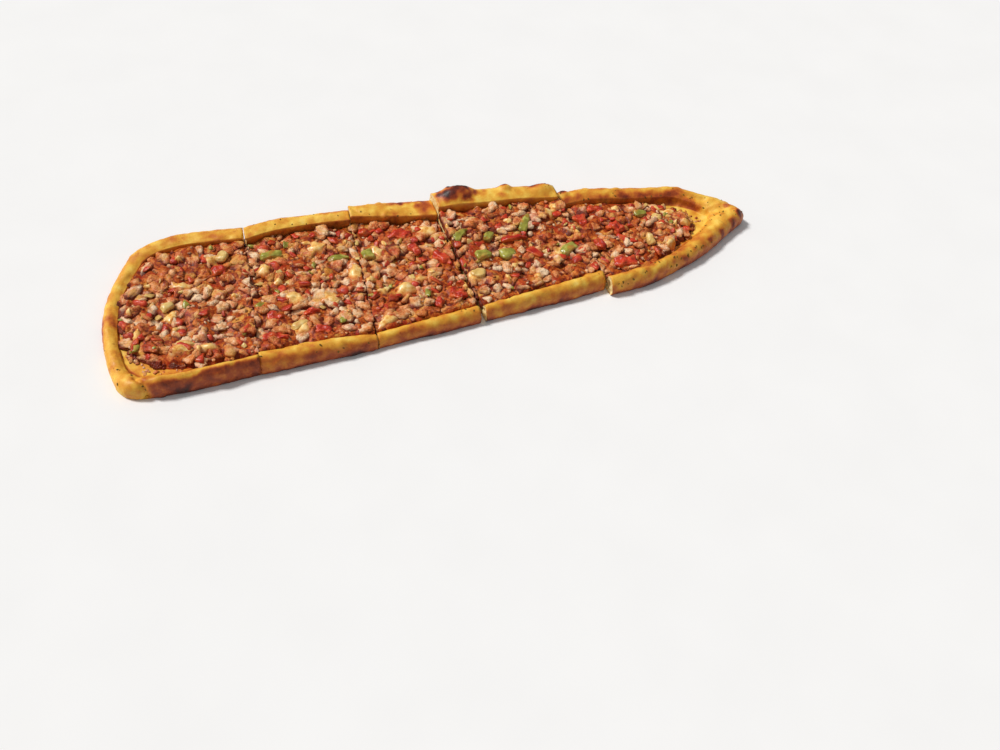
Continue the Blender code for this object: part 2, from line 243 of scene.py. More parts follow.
print("slices:", {name: len(rims["front"]) + len(rims["back"]) for name, rims in SLICES.items()}, "ribs")

# %% [markdown]
# ## From ribs to a smooth rim
#
# A Catmull-Rom curve passes through every rib and turns smoothly between them, first along the
# pide and then across each section. The hand that folded the dough left the rim a little uneven,
# so the outer foot, the crest and the filling's edge wander by slow noise, exactly as they do in
# the solids. The last line measures the result, and gives the small step that centred the solids
# over the origin.

# %% Smooth ribs
RIM_WAVE = 0.7  # how far the rim's outer foot wanders in and out
CREST_WAVE = 0.05  # share by which the rim's height rises and falls
RIM_WAVE_LENGTH = 34.0
EDGE_WAVE = 1.5  # how far the filling's edge wanders where it ends on bare dough
EDGE_WAVE_LENGTH = 11.0
WIDE_BARE = 5.0  # width of bare floor at which the filling's edge is as thin as it gets
RIM_POINTS = 40  # points across a rim
Rims = namedtuple("Rims", "outer inner edge crest roll flap floor")


def through(rows, places):
    """Points on the Catmull-Rom curve through rows; place 1.5 is half way from row 1 to row 2."""
    rows = np.asarray(rows, float)
    padded = np.concatenate([[2 * rows[0] - rows[1]], rows, [2 * rows[-1] - rows[-2]]])
    k = np.minimum(places.astype(int), len(rows) - 2)
    t = (places - k).reshape(-1, *[1] * (rows.ndim - 1))
    before, start, end, after = (padded[k + step] for step in range(4))
    bend = 2 * before - 5 * start + 4 * end - after
    turn = 3 * (start - end) + after - before
    return start + t / 2 * (end - before + t * (bend + t * turn))


def rims_of(name, side, count):
    """One rim of a slice at count stations, a little off as if by hand."""
    rows = SLICES[name][side]
    at = through(rows, np.linspace(0, len(rows) - 1, count))
    outer, inner, edge = at[:, 0:2], at[:, 2:4], at[:, 4:6]
    inward = unit(inner - outer)
    bare = np.minimum(1, (np.linalg.norm(edge - inner, axis=1) - SIDE_GAP) / WIDE_BARE)
    outer = outer + inward * (RIM_WAVE * waves(outer, RIM_WAVE_LENGTH))[:, None]
    edge = edge + inward * (EDGE_WAVE * bare * waves(edge, EDGE_WAVE_LENGTH))[:, None]
    crest = at[:, 6] * (1 + CREST_WAVE * waves(inner, RIM_WAVE_LENGTH))
    return Rims(outer, inner, edge, crest, at[:, 7], at[:, 8], at[:, 9])


def rim_surface(rims, count=RIM_POINTS):
    """The rim's skin, station by station, from its outer foot over the crest to its inner foot."""
    shapes = [np.array(shape)[None] for shape in (ROLL, FLAP, LIP)]
    shares = [rims.roll, rims.flap, 1 - rims.roll - rims.flap]
    profile = sum(share[:, None, None] * shape for share, shape in zip(shares, shapes))
    across = np.linspace(0, len(ROLL) - 1, count)
    profile = through(profile.transpose(1, 0, 2), across).transpose(1, 0, 2)
    share, height = profile[..., 0:1], profile[..., 1] * rims.crest[:, None]
    height = np.where(share[..., 0] > 0.5, np.maximum(height, rims.floor[:, None]), np.maximum(height, 0))
    plan = rims.outer[:, None] + (rims.inner - rims.outer)[:, None] * share
    return np.concatenate([plan, height[..., None]], axis=2)


def corners(points):
    """Lowest and highest corner of some points."""
    flat = np.reshape(points, (-1, 3))
    return flat.min(axis=0), flat.max(axis=0)


widest = [rim_surface(rims_of(name, side, 60)) for name in SLICES for side in ("front", "back")]
low, high = corners(np.concatenate([skin.reshape(-1, 3) for skin in widest]))
SHIFT = np.array([(low[0] + high[0]) / 2, (low[1] + high[1]) / 2, 0])
print("smooth skin in mm:", (high - low).round(1), "centred by moving it", SHIFT.round(2))

# %% [markdown]
# ## Meshes from grids
#
# A slab is two grids of points, one above the other, joined round the sides. Both the dough and
# the sauce are slabs: the upper grid is the visible surface, the lower one the underside, and the
# sides that close them are the knife cuts. Where a pide's end draws together, many grid points
# fall on one place, so points that coincide are merged and the faces that collapse are dropped.
# Attributes on the vertices, such as how toasted a place is, are carried into the mesh, where
# the material nodes read them.

# %% Slab and mesh helpers
CAP_ROWS = 14  # rows of faces down a cut
MERGE = 0.01  # points nearer than this become one


def slab(top, bottom, cut_left=True, cut_right=True):
    """Points and faces of a solid between two grids, and for each point whether it is cut."""
    stations, across = top.shape[:2]
    numbers = np.arange(stations * across).reshape(stations, across)
    under = numbers + stations * across
    points = [top.reshape(-1, 3), bottom.reshape(-1, 3)]
    made = 2 * stations * across
    quads = [
        np.stack([numbers[:-1, :-1], numbers[1:, :-1], numbers[1:, 1:], numbers[:-1, 1:]], axis=-1),
        np.stack([under[:-1, :-1], under[:-1, 1:], under[1:, 1:], under[1:, :-1]], axis=-1),
    ]
    for column, way in ((0, 1), (across - 1, -1)):
        upper, lower = numbers[:, column], under[:, column]
        wall = np.stack([upper[:-1], lower[:-1], lower[1:], upper[1:]], axis=-1)
        quads.append(wall[:, ::way])
    for row, way, wanted in ((0, -1, cut_left), (stations - 1, 1, cut_right)):
        if not wanted:
            continue
        shares = np.linspace(0, 1, CAP_ROWS + 1)[1:-1, None, None]
        inside = top[row][None] * (1 - shares) + bottom[row][None] * shares
        points.append(inside.reshape(-1, 3))
        inner = made + np.arange((CAP_ROWS - 1) * across).reshape(-1, across)
        made += inner.size
        rows = np.concatenate([numbers[row][None], inner, under[row][None]])
        cap = np.stack([rows[:-1, :-1], rows[1:, :-1], rows[1:, 1:], rows[:-1, 1:]], axis=-1)
        quads.append(cap[..., ::way])
    faces = np.concatenate([group.reshape(-1, 4) for group in quads])
    return np.concatenate(points), faces


def merged(points, faces):
    """The same surface with coinciding points made one. Also says which points were kept."""
    keys = np.round(points / MERGE).astype(np.int64)
    _, kept, index = np.unique(keys, axis=0, return_index=True, return_inverse=True)
    welded = []
    for face in index.reshape(-1)[faces].tolist():
        face = list(dict.fromkeys(face))
        if len(face) > 2:
            welded.append(face)
    return points[kept], welded, kept


def add_object(name, mesh, material, slot=None, replaces=()):
    """A smooth-shaded object that rides with the pide."""
    mesh.shade_smooth()
    made = bpy.data.objects.new(name, mesh)
    made.data.materials.append(material)
    bpy.context.scene.collection.objects.link(made)
    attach(made, "root")
    if replaces:
        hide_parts(*replaces)
    return made


def mesh_from(name, points, faces, values):
    """A mesh in metres, over the origin, with one value or vector for each point of each name."""
    mesh = bpy.data.meshes.new(name)
    if isinstance(faces, np.ndarray):
        mesh.vertices.add(len(points))
        mesh.vertices.foreach_set("co", ((points - SHIFT) * MM).astype(np.float32).ravel())
        mesh.loops.add(faces.size)
        mesh.loops.foreach_set("vertex_index", faces.astype(np.int32).ravel())
        mesh.polygons.add(len(faces))
        starts = np.arange(0, faces.size, faces.shape[1], dtype=np.int32)
        mesh.polygons.foreach_set("loop_start", starts)
        mesh.update(calc_edges=True)
        mesh.validate()
    else:
        mesh.from_pydata(((points - SHIFT) * MM).tolist(), [], faces)
    for key, value in values.items():
        kind, field = ("FLOAT", "value") if np.ndim(value) == 1 else ("FLOAT_VECTOR", "vector")
        layer = mesh.attributes.new(key, kind, "POINT")
        layer.data.foreach_set(field, np.asarray(value, np.float32).ravel())
    return mesh


def normals_of(points, faces):
    """Outward directions at the points of a surface."""
    mesh = bpy.data.meshes.new("probe")
    mesh.from_pydata(points.tolist(), [], faces)
    found = np.zeros(len(points) * 3, np.float32)
    mesh.vertex_normals.foreach_get("vector", found)
    bpy.data.meshes.remove(mesh)
    return found.reshape(-1, 3).astype(float)


print("helpers ready")

# %% [markdown]
# ## The baked dough
#
# The dough is the largest surface, and it carries the look of the oven. Its skin gets four sizes
# of unevenness, each moved along the surface normal: soft swells from shaping by hand, small
# blisters where steam lifted the skin, and fine wrinkles and pores. The knife cuts show pale
# crumb, with the hollow that runs inside a rolled rim.
#
# How dark each place is baked is worked out in the same step, because it follows the shape. The
# crests that faced the heat are gold with brown spots, the outer wall of the front rims grows
# browner towards its foot, the inner walls are stained orange by the oil of the filling and are
# drawn darker under the overhanging back rims, by browning and by painted shade, and the tall
# bubble on the fourth slice is charred.

# %% Blisters, toasted spots and creases
# Swellings of the crust that the solids share: slice, centre, radii along x and y, height
BLISTERS = (
    ("slice_4", (24, 55), (19, 13), 6.5),
    ("slice_4", (66, 53), (7, 8), 3.0),
    ("slice_4", (98, 46), (13, 9), 3.5),
    ("slice_5", (118, 45), (7, 7), 2.5),
    ("slice_5", (262, -12), (11, 12), 2.0),
)
# Toasted places: slice, centre, radii along x and y, how much darker from 0 to 1
TOASTED = (
    ("slice_1", (-262, -2), (9, 9), 0.22),
    ("slice_1", (-259, -34), (5, 4), 0.16),
    ("slice_1", (-249, -69), (5, 4), 0.12),
    ("slice_1", (-212, 76), (14, 3), 0.16),
    ("slice_1", (-171, 66), (20, 4), 0.08),
    ("slice_2", (-128, 73), (16, 4), 0.25),
    ("slice_2", (-104, 71), (12, 3), 0.18),
    ("slice_2", (-82, 66), (18, 3), 0.12),
    ("slice_3", (-28, 66), (12, 7), 0.3),
    ("slice_3", (-4, 56), (12, 12), 0.34),
    ("slice_3", (-13, 64), (16, 5), 0.2),
    ("slice_4", (24, 54), (23, 13), 0.46),
    ("slice_4", (24, 63), (19, 8), 0.34),
    ("slice_4", (10, 56), (8, 8), 0.2),
    ("slice_4", (42, 51), (9, 6), 0.3),
    ("slice_4", (50, 57), (6, 4), 0.2),
    ("slice_4", (66, 56), (8, 7), 0.5),
    ("slice_4", (96, 52), (16, 8), 0.46),
    ("slice_4", (103, 51), (8, 6), 0.3),
    ("slice_4", (60, 44), (10, 3), 0.14),
    ("slice_5", (118, 47), (7, 6), 0.5),
    ("slice_5", (150, 40), (18, 6), 0.14),
    ("slice_5", (185, 36), (14, 6), 0.1),
    ("slice_5", (222, 24), (11, 5), 0.16),
    ("slice_5", (247, -14), (4, 3), 0.22),
    ("slice_5", (256, -5), (4, 4), 0.26),
    ("slice_5", (262, -16), (5, 3), 0.34),
    ("slice_5", (268, -10), (3, 6), 0.4),
    ("slice_5", (252, -22), (5, 3), 0.2),
    ("slice_5", (238, -31), (6, 3), 0.24),
    ("slice_5", (221, -39), (5, 3), 0.22),
    ("slice_5", (190, -53), (6, 3), 0.2),
    ("slice_5", (150, -62), (7, 3), 0.16),
)
# The outer wall of each slice's front rim: how much browner half way up, how far up the rim that
# reaches, over what share of the rim it fades out, and how much browner still at the foot
FRONT_TOAST = {
    "slice_1": (0.34, 0.6, 0.14, 0.12),
    "slice_2": (0.24, 0.62, 0.26, 0.22),
    "slice_3": (0.2, 0.6, 0.26, 0.24),
    "slice_4": (0.17, 0.6, 0.26, 0.26),
    "slice_5": (0.16, 0.58, 0.24, 0.24),
}
# How much darker the inner wall of each slice's back rim is drawn, by browning and by painted shade under its
# overhang, and from where on the rim
INNER_TOAST_AND_SHADE = {
    "slice_1": (0.34, 0.76),
    "slice_2": (0.55, 0.76),
    "slice_3": (0.5, 0.78),
    "slice_4": (0.55, 0.8),
    "slice_5": (0.3, 0.56),
}
TIP_STARTS = 226  # from here on the tip's inner wall stays pale
# Folds in the skin: slice, start and end in plan, depth, width
CREASES = (
    ("slice_1", (-254, -63), (-247, -78), 2.6, 1.7),
    ("slice_1", (-246, -66), (-215, -70), 0.7, 1.4),
    ("slice_3", (-66, 66), (-58, 56), 0.8, 1.0),
    ("slice_5", (206, 33), (228, 17), 0.8, 1.6),
    ("slice_5", (222, 20), (244, 6), 2.2, 3.0),
    ("slice_5", (232, -2), (258, -8), 1.1, 2.2),
)
SOFTEST_BLISTER = 1.5  # power of the blister's dome
# Small bumps where the dough was pinched together, which the solids leave out
PINCHED = (
    ("slice_5", (262, -14), (5, 4), 1.3),
    ("slice_5", (254, -21), (5, 4), 1.1),
    ("slice_5", (256, -5), (5, 4), 1.0),
    ("slice_5", (247, -12), (6, 4), 1.0),
    ("slice_5", (240, -28), (6, 4), 1.0),
    ("slice_5", (226, -36), (6, 4), 0.9),
    ("slice_5", (244, 6), (6, 5), 0.9),
    ("slice_5", (206, -46), (7, 4), 0.7),
    ("slice_1", (-256, -60), (6, 6), 1.0),
    ("slice_1", (-262, -40), (5, 6), 0.7),
)
# Hollows inside the rolled rim that a cut lays open: slice, place in plan, height, radius, depth
HOLLOWS = (
    ("slice_5", (116.6, -61.0), 8.0, 3.4, 4.0),
    ("slice_4", (8.0, -63.0), 7.0, 2.6, 2.0),
    ("slice_2", (-152.0, 62.0), 11.0, 2.6, 2.5),
    ("slice_4", (108.3, 44.0), 18.0, 3.4, 3.0),
    ("slice_3", (2.3, -64.0), 7.0, 2.4, 2.0),
)


def spots_at(name, points, spots):
    """For each spot of this slice, its values and how far each point is from its middle."""
    for owner, centre, radii, strength in spots:
        if owner == name:
            away = np.hypot((points[:, 0] - centre[0]) / radii[0], (points[:, 1] - centre[1]) / radii[1])
            yield strength, away


def blistered(name, points):
    """Points lifted where the crust swells."""
    lifted = points.copy()
    for height, away in spots_at(name, points, BLISTERS + PINCHED):
        dome = np.clip(1 - away * away, 0, 1) ** SOFTEST_BLISTER
        lifted[:, 2] += np.where(points[:, 2] > FLOOR, height * dome, 0)
    return lifted


def creased(name, points):
    """How deep the creases are at each point."""
    depth = np.zeros(len(points))
    for owner, start, end, deepest, width in CREASES:
        if owner == name:
            start, along = np.array(start, float), np.subtract(end, start)
            t = np.clip((points[:, :2] - start) @ along / (along @ along), 0, 1)
            away = np.linalg.norm(points[:, :2] - start - t[:, None] * along, axis=1)
            ends = np.minimum(1, 6 * np.minimum(t, 1 - t) + 0.2)
            depth = np.maximum(depth, deepest * ends * np.exp(-((away / width) ** 2)))
    return depth


print(len(BLISTERS), "blisters,", len(TOASTED), "toasted places,", len(CREASES), "creases")

# %% Build the dough slices
STATION_STEP = 1.25  # distance between cross-sections along the pide
FLOOR_POINTS = 16  # points across the base between the rims
CLOSED_LEFT = ("slice_1",)
CLOSED_RIGHT = ("slice_5",)
SWELL = (0.35, 17.0)  # height and length of the swells
LUMPS = (0.32, 6.5)
WRINKLES = (0.12, 2.4)
PORES = (0.05, 1.3)
HEADROOM = 0.7  # how far the skin may rise over its solid
CUT_SWELL = 0.5  # how far the soft crumb springs back over the knife's cut
CRUMB_RELIEF = 1.2  # depth of the crumb's holes in the cut
FILLET_ROUNDS = 12  # rounds of smoothing in the corner between rim and base
FILLET_WIDTH = 3.5  # grid points that are smoothed to either side of the corner
# A knife cut: a place on it, its direction and length, the way out of the slice, the gap to the
# next slice in front and at the back, its number, and -1 for a left cut or 1 for a right cut
Cut = namedtuple("Cut", "start along length outward gaps number sign")
CUTS = {}
order = list(SLICES)
for name, rims in SLICES.items():
    CUTS[name] = []
    for end, sign, closed in ((0, -1, CLOSED_LEFT), (-1, 1, CLOSED_RIGHT)):
        if name not in closed:
            near, far = np.array(rims["front"][end][:2]), np.array(rims["back"][end][:2])
            neighbour = SLICES[order[order.index(name) + sign]]
            gaps = [
                math.dist(rims[side][end][:2], neighbour[side][-1 - end][:2]) for side in ("front", "back")
            ]
            along = unit(far - near)
            outward = np.array([along[1], -along[0]]) * sign
            number = order.index(name) + min(sign, 0)
            CUTS[name].append(Cut(near, along, math.dist(near, far), outward, gaps, number, sign))


RIM_PLACES = {}  # points on each slice's rims and the way out of the skin there


def stations_of(name):
    """How many cross-sections a slice gets."""
    low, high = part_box(name + "_dough")
    return int((high.x - low.x) / MM / STATION_STEP)


def filleted(top, front, back):
    """The corner between rim and base softened, most where no filling covers it."""
    columns = np.arange(top.shape[1])
    shares = []
    for rims, foot in ((front, RIM_POINTS - 0.5), (back, top.shape[1] - RIM_POINTS - 0.5)):
        bare = (np.linalg.norm(rims.edge - rims.inner, axis=1) - SIDE_GAP) / WIDE_BARE
        shares.append(np.clip(bare, 0.25, 1)[:, None] * np.exp(-(((columns - foot) / FILLET_WIDTH) ** 2)))
    share = np.maximum(*shares)[:, 1:-1, None]
    for _ in range(FILLET_ROUNDS):
        middle = (top[:, :-2] + top[:, 2:]) / 2
        top[:, 1:-1] += share * (middle - top[:, 1:-1])
    return top


def dough_grids(name):
    """Upper and lower grid of a slice of dough, with where each upper point lies on its rim."""
    count = stations_of(name)
    front, back = rims_of(name, "front", count), rims_of(name, "back", count)
    near, far = rim_surface(front), rim_surface(back)[:, ::-1]
    spread = eased(np.linspace(0, 1, FLOOR_POINTS + 2)[1:-1])[None, :, None]
    base = near[:, -1:] * (1 - spread) + far[:, :1] * spread
    top = filleted(np.concatenate([near, base, far], axis=1), front, back)
    along = top[:, -1, :2] - top[:, 0, :2]
    share = np.einsum("sij,sj->si", top[..., :2] - top[:, :1, :2], along)
    share = share / np.sum(along * along, axis=1)[:, None].clip(1e-6)
    share = np.maximum.accumulate(np.clip(share, 0, 1), axis=1)
    share = 0.85 * share + 0.15 * np.linspace(0, 1, top.shape[1])
    plan = top[:, :1, :2] + along[:, None] * share[..., None]
    bottom = np.concatenate([plan, np.zeros_like(plan[..., :1])], axis=2)
    return front, back, top, bottom


def across_of(shape):
    """Where each grid point lies on its rim: 0 at the outer foot, 1 at the inner foot, 2 on the base."""
    rim = np.linspace(0, 1, RIM_POINTS)
    line = np.concatenate([rim, np.full(FLOOR_POINTS, 2.0), rim[::-1]])
    return np.broadcast_to(line, shape[:2]).ravel()


def dough_slice(name, material):
    """The dough of one slice, and how it is baked at each point."""
    front, back, top, bottom = dough_grids(name)
    cuts = name not in CLOSED_LEFT, name not in CLOSED_RIGHT
    points, faces = slab(top, bottom, *cuts)
    grid = top.shape[0] * top.shape[1]
    extra = len(points) - 2 * grid
    across = np.concatenate([across_of(top.shape), np.full(grid + extra, -1.0)])
    at_front = np.tile(np.arange(top.shape[1]) < top.shape[1] / 2, top.shape[0])
    at_front = np.concatenate([at_front, np.zeros(grid + extra, bool)])
    kind = np.concatenate([np.zeros(grid), np.ones(grid), np.full(extra, 2.0)])
    points, faces, kept = merged(points, faces)
    across, at_front, kind = across[kept], at_front[kept], kind[kept]
    points = blistered(name, points)
    outward = normals_of(points, faces)
    skin, under, crumb = kind == 0, kind == 1, kind == 2
    open_skin = np.where(skin & (across < 1.5), 1.0, np.where(skin, 0.5, 0.0))
    layers = enumerate((SWELL, LUMPS, WRINKLES, PORES))
    move = sum(height * waves(points, length, 5 + i) for i, (height, length) in layers)
    bubbles = np.clip(waves(points, 9.0, 14) - 0.55, 0, 1) * 1.6
    move = open_skin * (move + bubbles - creased(name, points))
    points = points + outward * move[:, None]
    hollow = np.zeros(len(points))
    for owner, place, height, radius, depth in HOLLOWS:
        if owner == name:
            away = np.linalg.norm(points - [*place, height], axis=1) / radius
            hollow = np.maximum(hollow, np.where(crumb, depth * eased(1.6 * (1 - away)), 0))
    for cut in CUTS[name]:
        on_cut = np.abs((points[:, :2] - cut.start) @ cut.outward) < 0.3
        holes = np.where(crumb, CRUMB_RELIEF * np.maximum(0, waves(points, 3.2, 15) + 0.2), 0)
        points[:, :2] += np.where(on_cut, CUT_SWELL - holes - hollow, 0)[:, None] * cut.outward
    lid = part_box(name + "_dough")[1].z / MM + HEADROOM
    points[:, 2] = np.where(skin, np.clip(points[:, 2], 0.02, lid), points[:, 2])
    crest = np.where(at_front, front.crest.mean(), back.crest.mean())
    height = points[:, 2] / crest
    toast = 0.31 + 0.09 * waves(points, 20, 8) + 0.09 * waves(points, 6, 9)
    outer_wall = skin & (across < 0.5) & (across >= 0)
    browning, reach, fade, darker_foot = FRONT_TOAST[name]
    ragged = across + 0.07 * waves(points, 13, 10) + 0.03 * waves(points, 4, 16)
    front_toast = browning * eased((reach - ragged) / fade) + darker_foot * eased((0.34 - ragged) / 0.34)
    if name == "slice_1":
        front_toast = front_toast * eased((points[:, 0] + 250) / 9)
    toast = np.where(skin & (across >= 0) & (across < 0.7) & at_front, toast + front_toast, toast)
    back_wall = 0.3 * eased((0.4 - ragged) / 0.3)
    toast = np.where(outer_wall & ~at_front, toast + back_wall, toast)
    # painted shade: under the overhanging back rim the inner wall is drawn darker, together with its browning
    browning, start = INNER_TOAST_AND_SHADE[name]
    inner_wall = skin & (across >= start) & (across <= 1)
    baked_and_shaded = browning * eased((ragged - start) / 0.2) * np.where(at_front, 0.45, 1.0)
    baked_and_shaded = baked_and_shaded * eased((TIP_STARTS + 14 - points[:, 0]) / 14)
    toast = np.where(inner_wall, toast + baked_and_shaded, toast)
    for darker, away in spots_at(name, points, TOASTED):
        ragged = away + 0.28 * waves(points, 5, 11)
        toast = toast + np.where(skin & (across < 1.5), darker * eased(1.35 * (1 - ragged)), 0)
    toast = np.where(under, 0.5 + 0.16 * waves(points, 9, 12) + 0.1 * waves(points, 3, 13), toast)
    edge_line = np.concatenate([front.edge, back.edge])
    near_edge = np.full(len(points), 99.0)
    floor_like = skin & (across > 0.8)
    ask = points[floor_like, :2]
    gaps = [np.linalg.norm(ask - place, axis=1) for place in edge_line[::3]]
    near_edge[floor_like] = np.min(gaps, axis=0)
    inside = across > 1.5
    oil = eased(1 - near_edge / np.where(inside, 6.0, 4.0)) * np.where(inside, 1.0, 0.8)
    on_rim = skin & (across > 0.3) & (across < 0.85)
    RIM_PLACES[name] = points[on_rim], outward[on_rim]
    # painted shade: the crumb is drawn browner and darker the deeper it lies in a hollow, where shade falls
    toast = np.where(crumb, 0.4 + 0.14 * hollow, toast)
    values = {"toast": toast, "oil": oil, "cut": crumb * (1 - 0.25 * np.clip(hollow, 0, 3.2))}
    mesh = mesh_from(name + "_crust", points, faces, values)
    made = add_object(name + "_crust", mesh, material, "baked_dough", [name + "_dough"])
    print(made.name, len(mesh.polygons), "faces")
    return made


# %% [markdown]
# ## Finishes from nodes
#
# Every finish starts from the Principled shader. Its base colour comes from a colour ramp, which
# is read at the toast value of the surface plus some noise, so one ramp takes the dough from
# cream through gold to char. Small helpers keep the node trees readable: one adds a noise, one a
# ramp, one mixes two colours, and one turns relief into bump. Colours are written as they look
# on a screen and turned into the linear values that Blender works with.

# %% Node helpers
def linear(*colour):
    """A screen colour, 0 to 255, as the linear colour that a shader takes."""
    share = np.array(colour) / 255
    value = np.where(share <= 0.04045, share / 12.92, ((share + 0.055) / 1.055) ** 2.4)
    return (*value, 1.0)


class Finish:
    """A material with short ways to add nodes to it."""

    def __init__(self, name, **constants):
        self.material = bpy.data.materials.new(name)
        self.material.use_nodes = True
        self.tree = self.material.node_tree
        self.shader = self.tree.nodes["Principled BSDF"]
        for socket, value in constants.items():
            self.shader.inputs[socket.replace("_", " ")].default_value = value

    def node(self, kind, inputs=(), **settings):
        """A new node, with settings and with values or links for its inputs."""
        made = self.tree.nodes.new("ShaderNode" + kind)
        for key, value in settings.items():
            setattr(made, key, value)
        for socket, value in dict(inputs).items():
            self.plug(made.inputs[socket], value)
        return made

    def plug(self, socket, value):
        """Links an output to a socket, or sets the socket's own value."""
        if isinstance(value, bpy.types.NodeSocket):
            self.tree.links.new(value, socket)
        else:
            socket.default_value = value

    def attribute(self, name, output="Fac"):
        return self.node("Attribute", attribute_name=name).outputs[output]

    def place(self):
        return self.node("TexCoord").outputs["Object"]

    def noise(self, size, detail=3.0, rough=0.55, vector=None, warp=0.0):
        """Noise from 0 to 1 with lumps of a size in millimetres."""
        inputs = {"Vector": vector or self.place(), "Scale": 1 / (size * MM), "Detail": detail}
        inputs.update({"Roughness": rough, "Distortion": warp})
        return self.node("TexNoise", inputs).outputs["Fac"]

    def math(self, operation, *values, clamp=False):
        inputs = dict(enumerate(values))
        return self.node("Math", inputs, operation=operation, use_clamp=clamp).outputs[0]

    def span(self, value, low, high, start=0.0, end=1.0):
        """start below low, end above high, and a soft step between them."""
        inputs = {"Value": value, "From Min": low, "From Max": high, "To Min": start, "To Max": end}
        made = self.node("MapRange", inputs, interpolation_type="SMOOTHSTEP")
        return made.outputs["Result"]

    def ramp(self, value, *stops):
        """A colour ramp through (place, colour) stops."""
        made = self.node("ValToRGB", {"Fac": value})
        row = made.color_ramp.elements
        while len(row) < len(stops):
            row.new(0.5)
        for element, (place, colour) in zip(row, stops):
            element.position = place
            element.color = linear(*colour)
        return made.outputs["Color"]

    def blend(self, share, under, over, way="MIX"):
        """Two colours mixed: a colour is three screen values or a link."""
        made = self.node("Mix", data_type="RGBA", blend_type=way)
        self.plug(made.inputs["Factor"], share)
        for socket, colour in ((made.inputs[6], under), (made.inputs[7], over)):
            self.plug(socket, colour if isinstance(colour, bpy.types.NodeSocket) else linear(*colour))
        return made.outputs[2]

    def bump(self, height, depth, strength=1.0):
        """Relief of a depth in millimetres, as a normal for the shader."""
        inputs = {"Height": height, "Distance": depth * MM, "Strength": strength}
        self.plug(self.shader.inputs["Normal"], self.node("Bump", inputs).outputs["Normal"])

    def finish(self, colour, roughness=None):
        self.plug(self.shader.inputs["Base Color"], colour)
        if roughness is not None:
            self.plug(self.shader.inputs["Roughness"], roughness)
        return self.material


print("warm gold in linear light:", [round(value, 3) for value in linear(225, 165, 65)])

# %% The crust's finish
def crust_finish():
    """Baked dough: cream to gold to char by how toasted it is, oily by the filling, pale where cut."""
    look = Finish("baked_crust", Specular_IOR_Level=0.3, Coat_Weight=0.08, Coat_Roughness=0.3)
    broad = look.noise(9, 4, 0.6)
    fine = look.noise(1.6, 4, 0.65)
    grit = look.noise(0.5, 2, 0.6)
    toast = look.attribute("toast")
    toast = look.math("ADD", toast, look.math("MULTIPLY_ADD", broad, 0.46, -0.23))
    toast = look.math("ADD", toast, look.math("MULTIPLY_ADD", fine, 0.16, -0.08))
    colour = look.ramp(
        toast,
        (0.0, (250, 226, 142)),
        (0.2, (242, 196, 80)),
        (0.34, (226, 160, 50)),
        (0.48, (204, 116, 34)),
        (0.62, (166, 72, 24)),
        (0.76, (106, 36, 15)),
        (0.9, (54, 22, 14)),
        (1.0, (28, 17, 15)),
    )
    freckle = look.span(look.noise(2.6, 2, 0.5), 0.67, 0.75)
    colour = look.blend(look.math("MULTIPLY", freckle, 0.4), colour, (158, 84, 30), "MULTIPLY")
    oil = look.math("MULTIPLY", look.attribute("oil"), look.span(look.noise(5, 4, 0.6), 0.3, 0.62, 0.35, 1.0))
    colour = look.blend(oil, colour, look.ramp(broad, (0.3, (206, 104, 30)), (0.7, (226, 152, 58))))
    crumb = look.ramp(look.noise(2.2, 4, 0.6), (0.35, (222, 176, 96)), (0.6, (248, 226, 166)))
    colour = look.blend(look.attribute("cut"), colour, crumb)
    relief = look.math("ADD", fine, look.math("MULTIPLY", grit, 0.4))
    look.bump(relief, 0.28, 0.8)
    gloss = look.math("SUBTRACT", look.span(fine, 0.3, 0.7, 0.44, 0.6), look.math("MULTIPLY", oil, 0.18))
    return look.finish(colour, gloss)


crust = crust_finish()
for name in SLICES:
    dough_slice(name, crust)

# %% [markdown]
# ## The sauce under the meat
#
# Between the pieces of meat lies a thin bed of crushed tomato, meat juice, oil and melted cheese.
# It is built as a slab a few millimetres lower than the solid heap, from the same edge points,
# with a lumpy surface. It thins out to nothing where it ends on bare dough, and it reaches a
# little into the rims so that no gap opens there.

# %% Build the sauce bed
FILL_DEPTH = 7.5  # thickness of the filling over the base, as in the solids
LUMP_HEIGHT = 2.6
LUMP_SIZE = 13.0
GAP = 0.4
THIN_EDGE = 3.2  # thickness of the filling where it ends on bare dough
EDGE_TAPER = 9.0  # how far in from that end it reaches its full thickness
BED_DROP = 2.3  # how far the bed lies under the top of the heap
BED_STEP = 1.7  # distance between its points
BED_ACROSS = 62
BED_INTO_RIM = 1.4  # how far the bed reaches into a rim that it touches
BARE_FROM = 0.4  # wider bare dough than this counts as an open end
OPEN_TAPER = 7.0  # how far in from an open end the bed reaches its full thickness
RIM_TAPER = 2.0  # the same beside a rim, where it starts from RIM_START
RIM_START = 0.55
THINNEST_BED = 0.25
BED_UNDER = 0.6  # how far the bed reaches down into the base
BED_LUMPS = ((0.9, 8.0), (0.9, 4.4), (0.3, 2.4))


def heap_top(name, along, across):
    """Places on the filling: along from 0 at the left cut to 1, across from 0 in front to 1."""
    count = 240
    front, back = rims_of(name, "front", count), rims_of(name, "back", count)
    at = np.clip(along, 0, 1) * (count - 1)
    near, far = through(front.edge, at), through(back.edge, at)
    floors = [through(rims.floor[:, None], at)[:, 0] for rims in (front, back)]
    floor = floors[0] * (1 - across) + floors[1] * across
    plan = near + (far - near) * across[:, None]
    widths = [through(np.linalg.norm(rims.edge - rims.inner, axis=1), at) for rims in (front, back)]
    bare = widths[0] * (1 - across) + widths[1] * across - SIDE_GAP
    inside = np.minimum(1, np.minimum(across, 1 - across) * np.linalg.norm(far - near, axis=1) / EDGE_TAPER)
    full = FILL_DEPTH + LUMP_HEIGHT * waves(plan, LUMP_SIZE)
    depth = full + (THIN_EDGE - full) * np.clip(bare / WIDE_BARE, 0, 1) * (1 - inside)
    return np.column_stack([plan, floor + GAP + depth]), floor


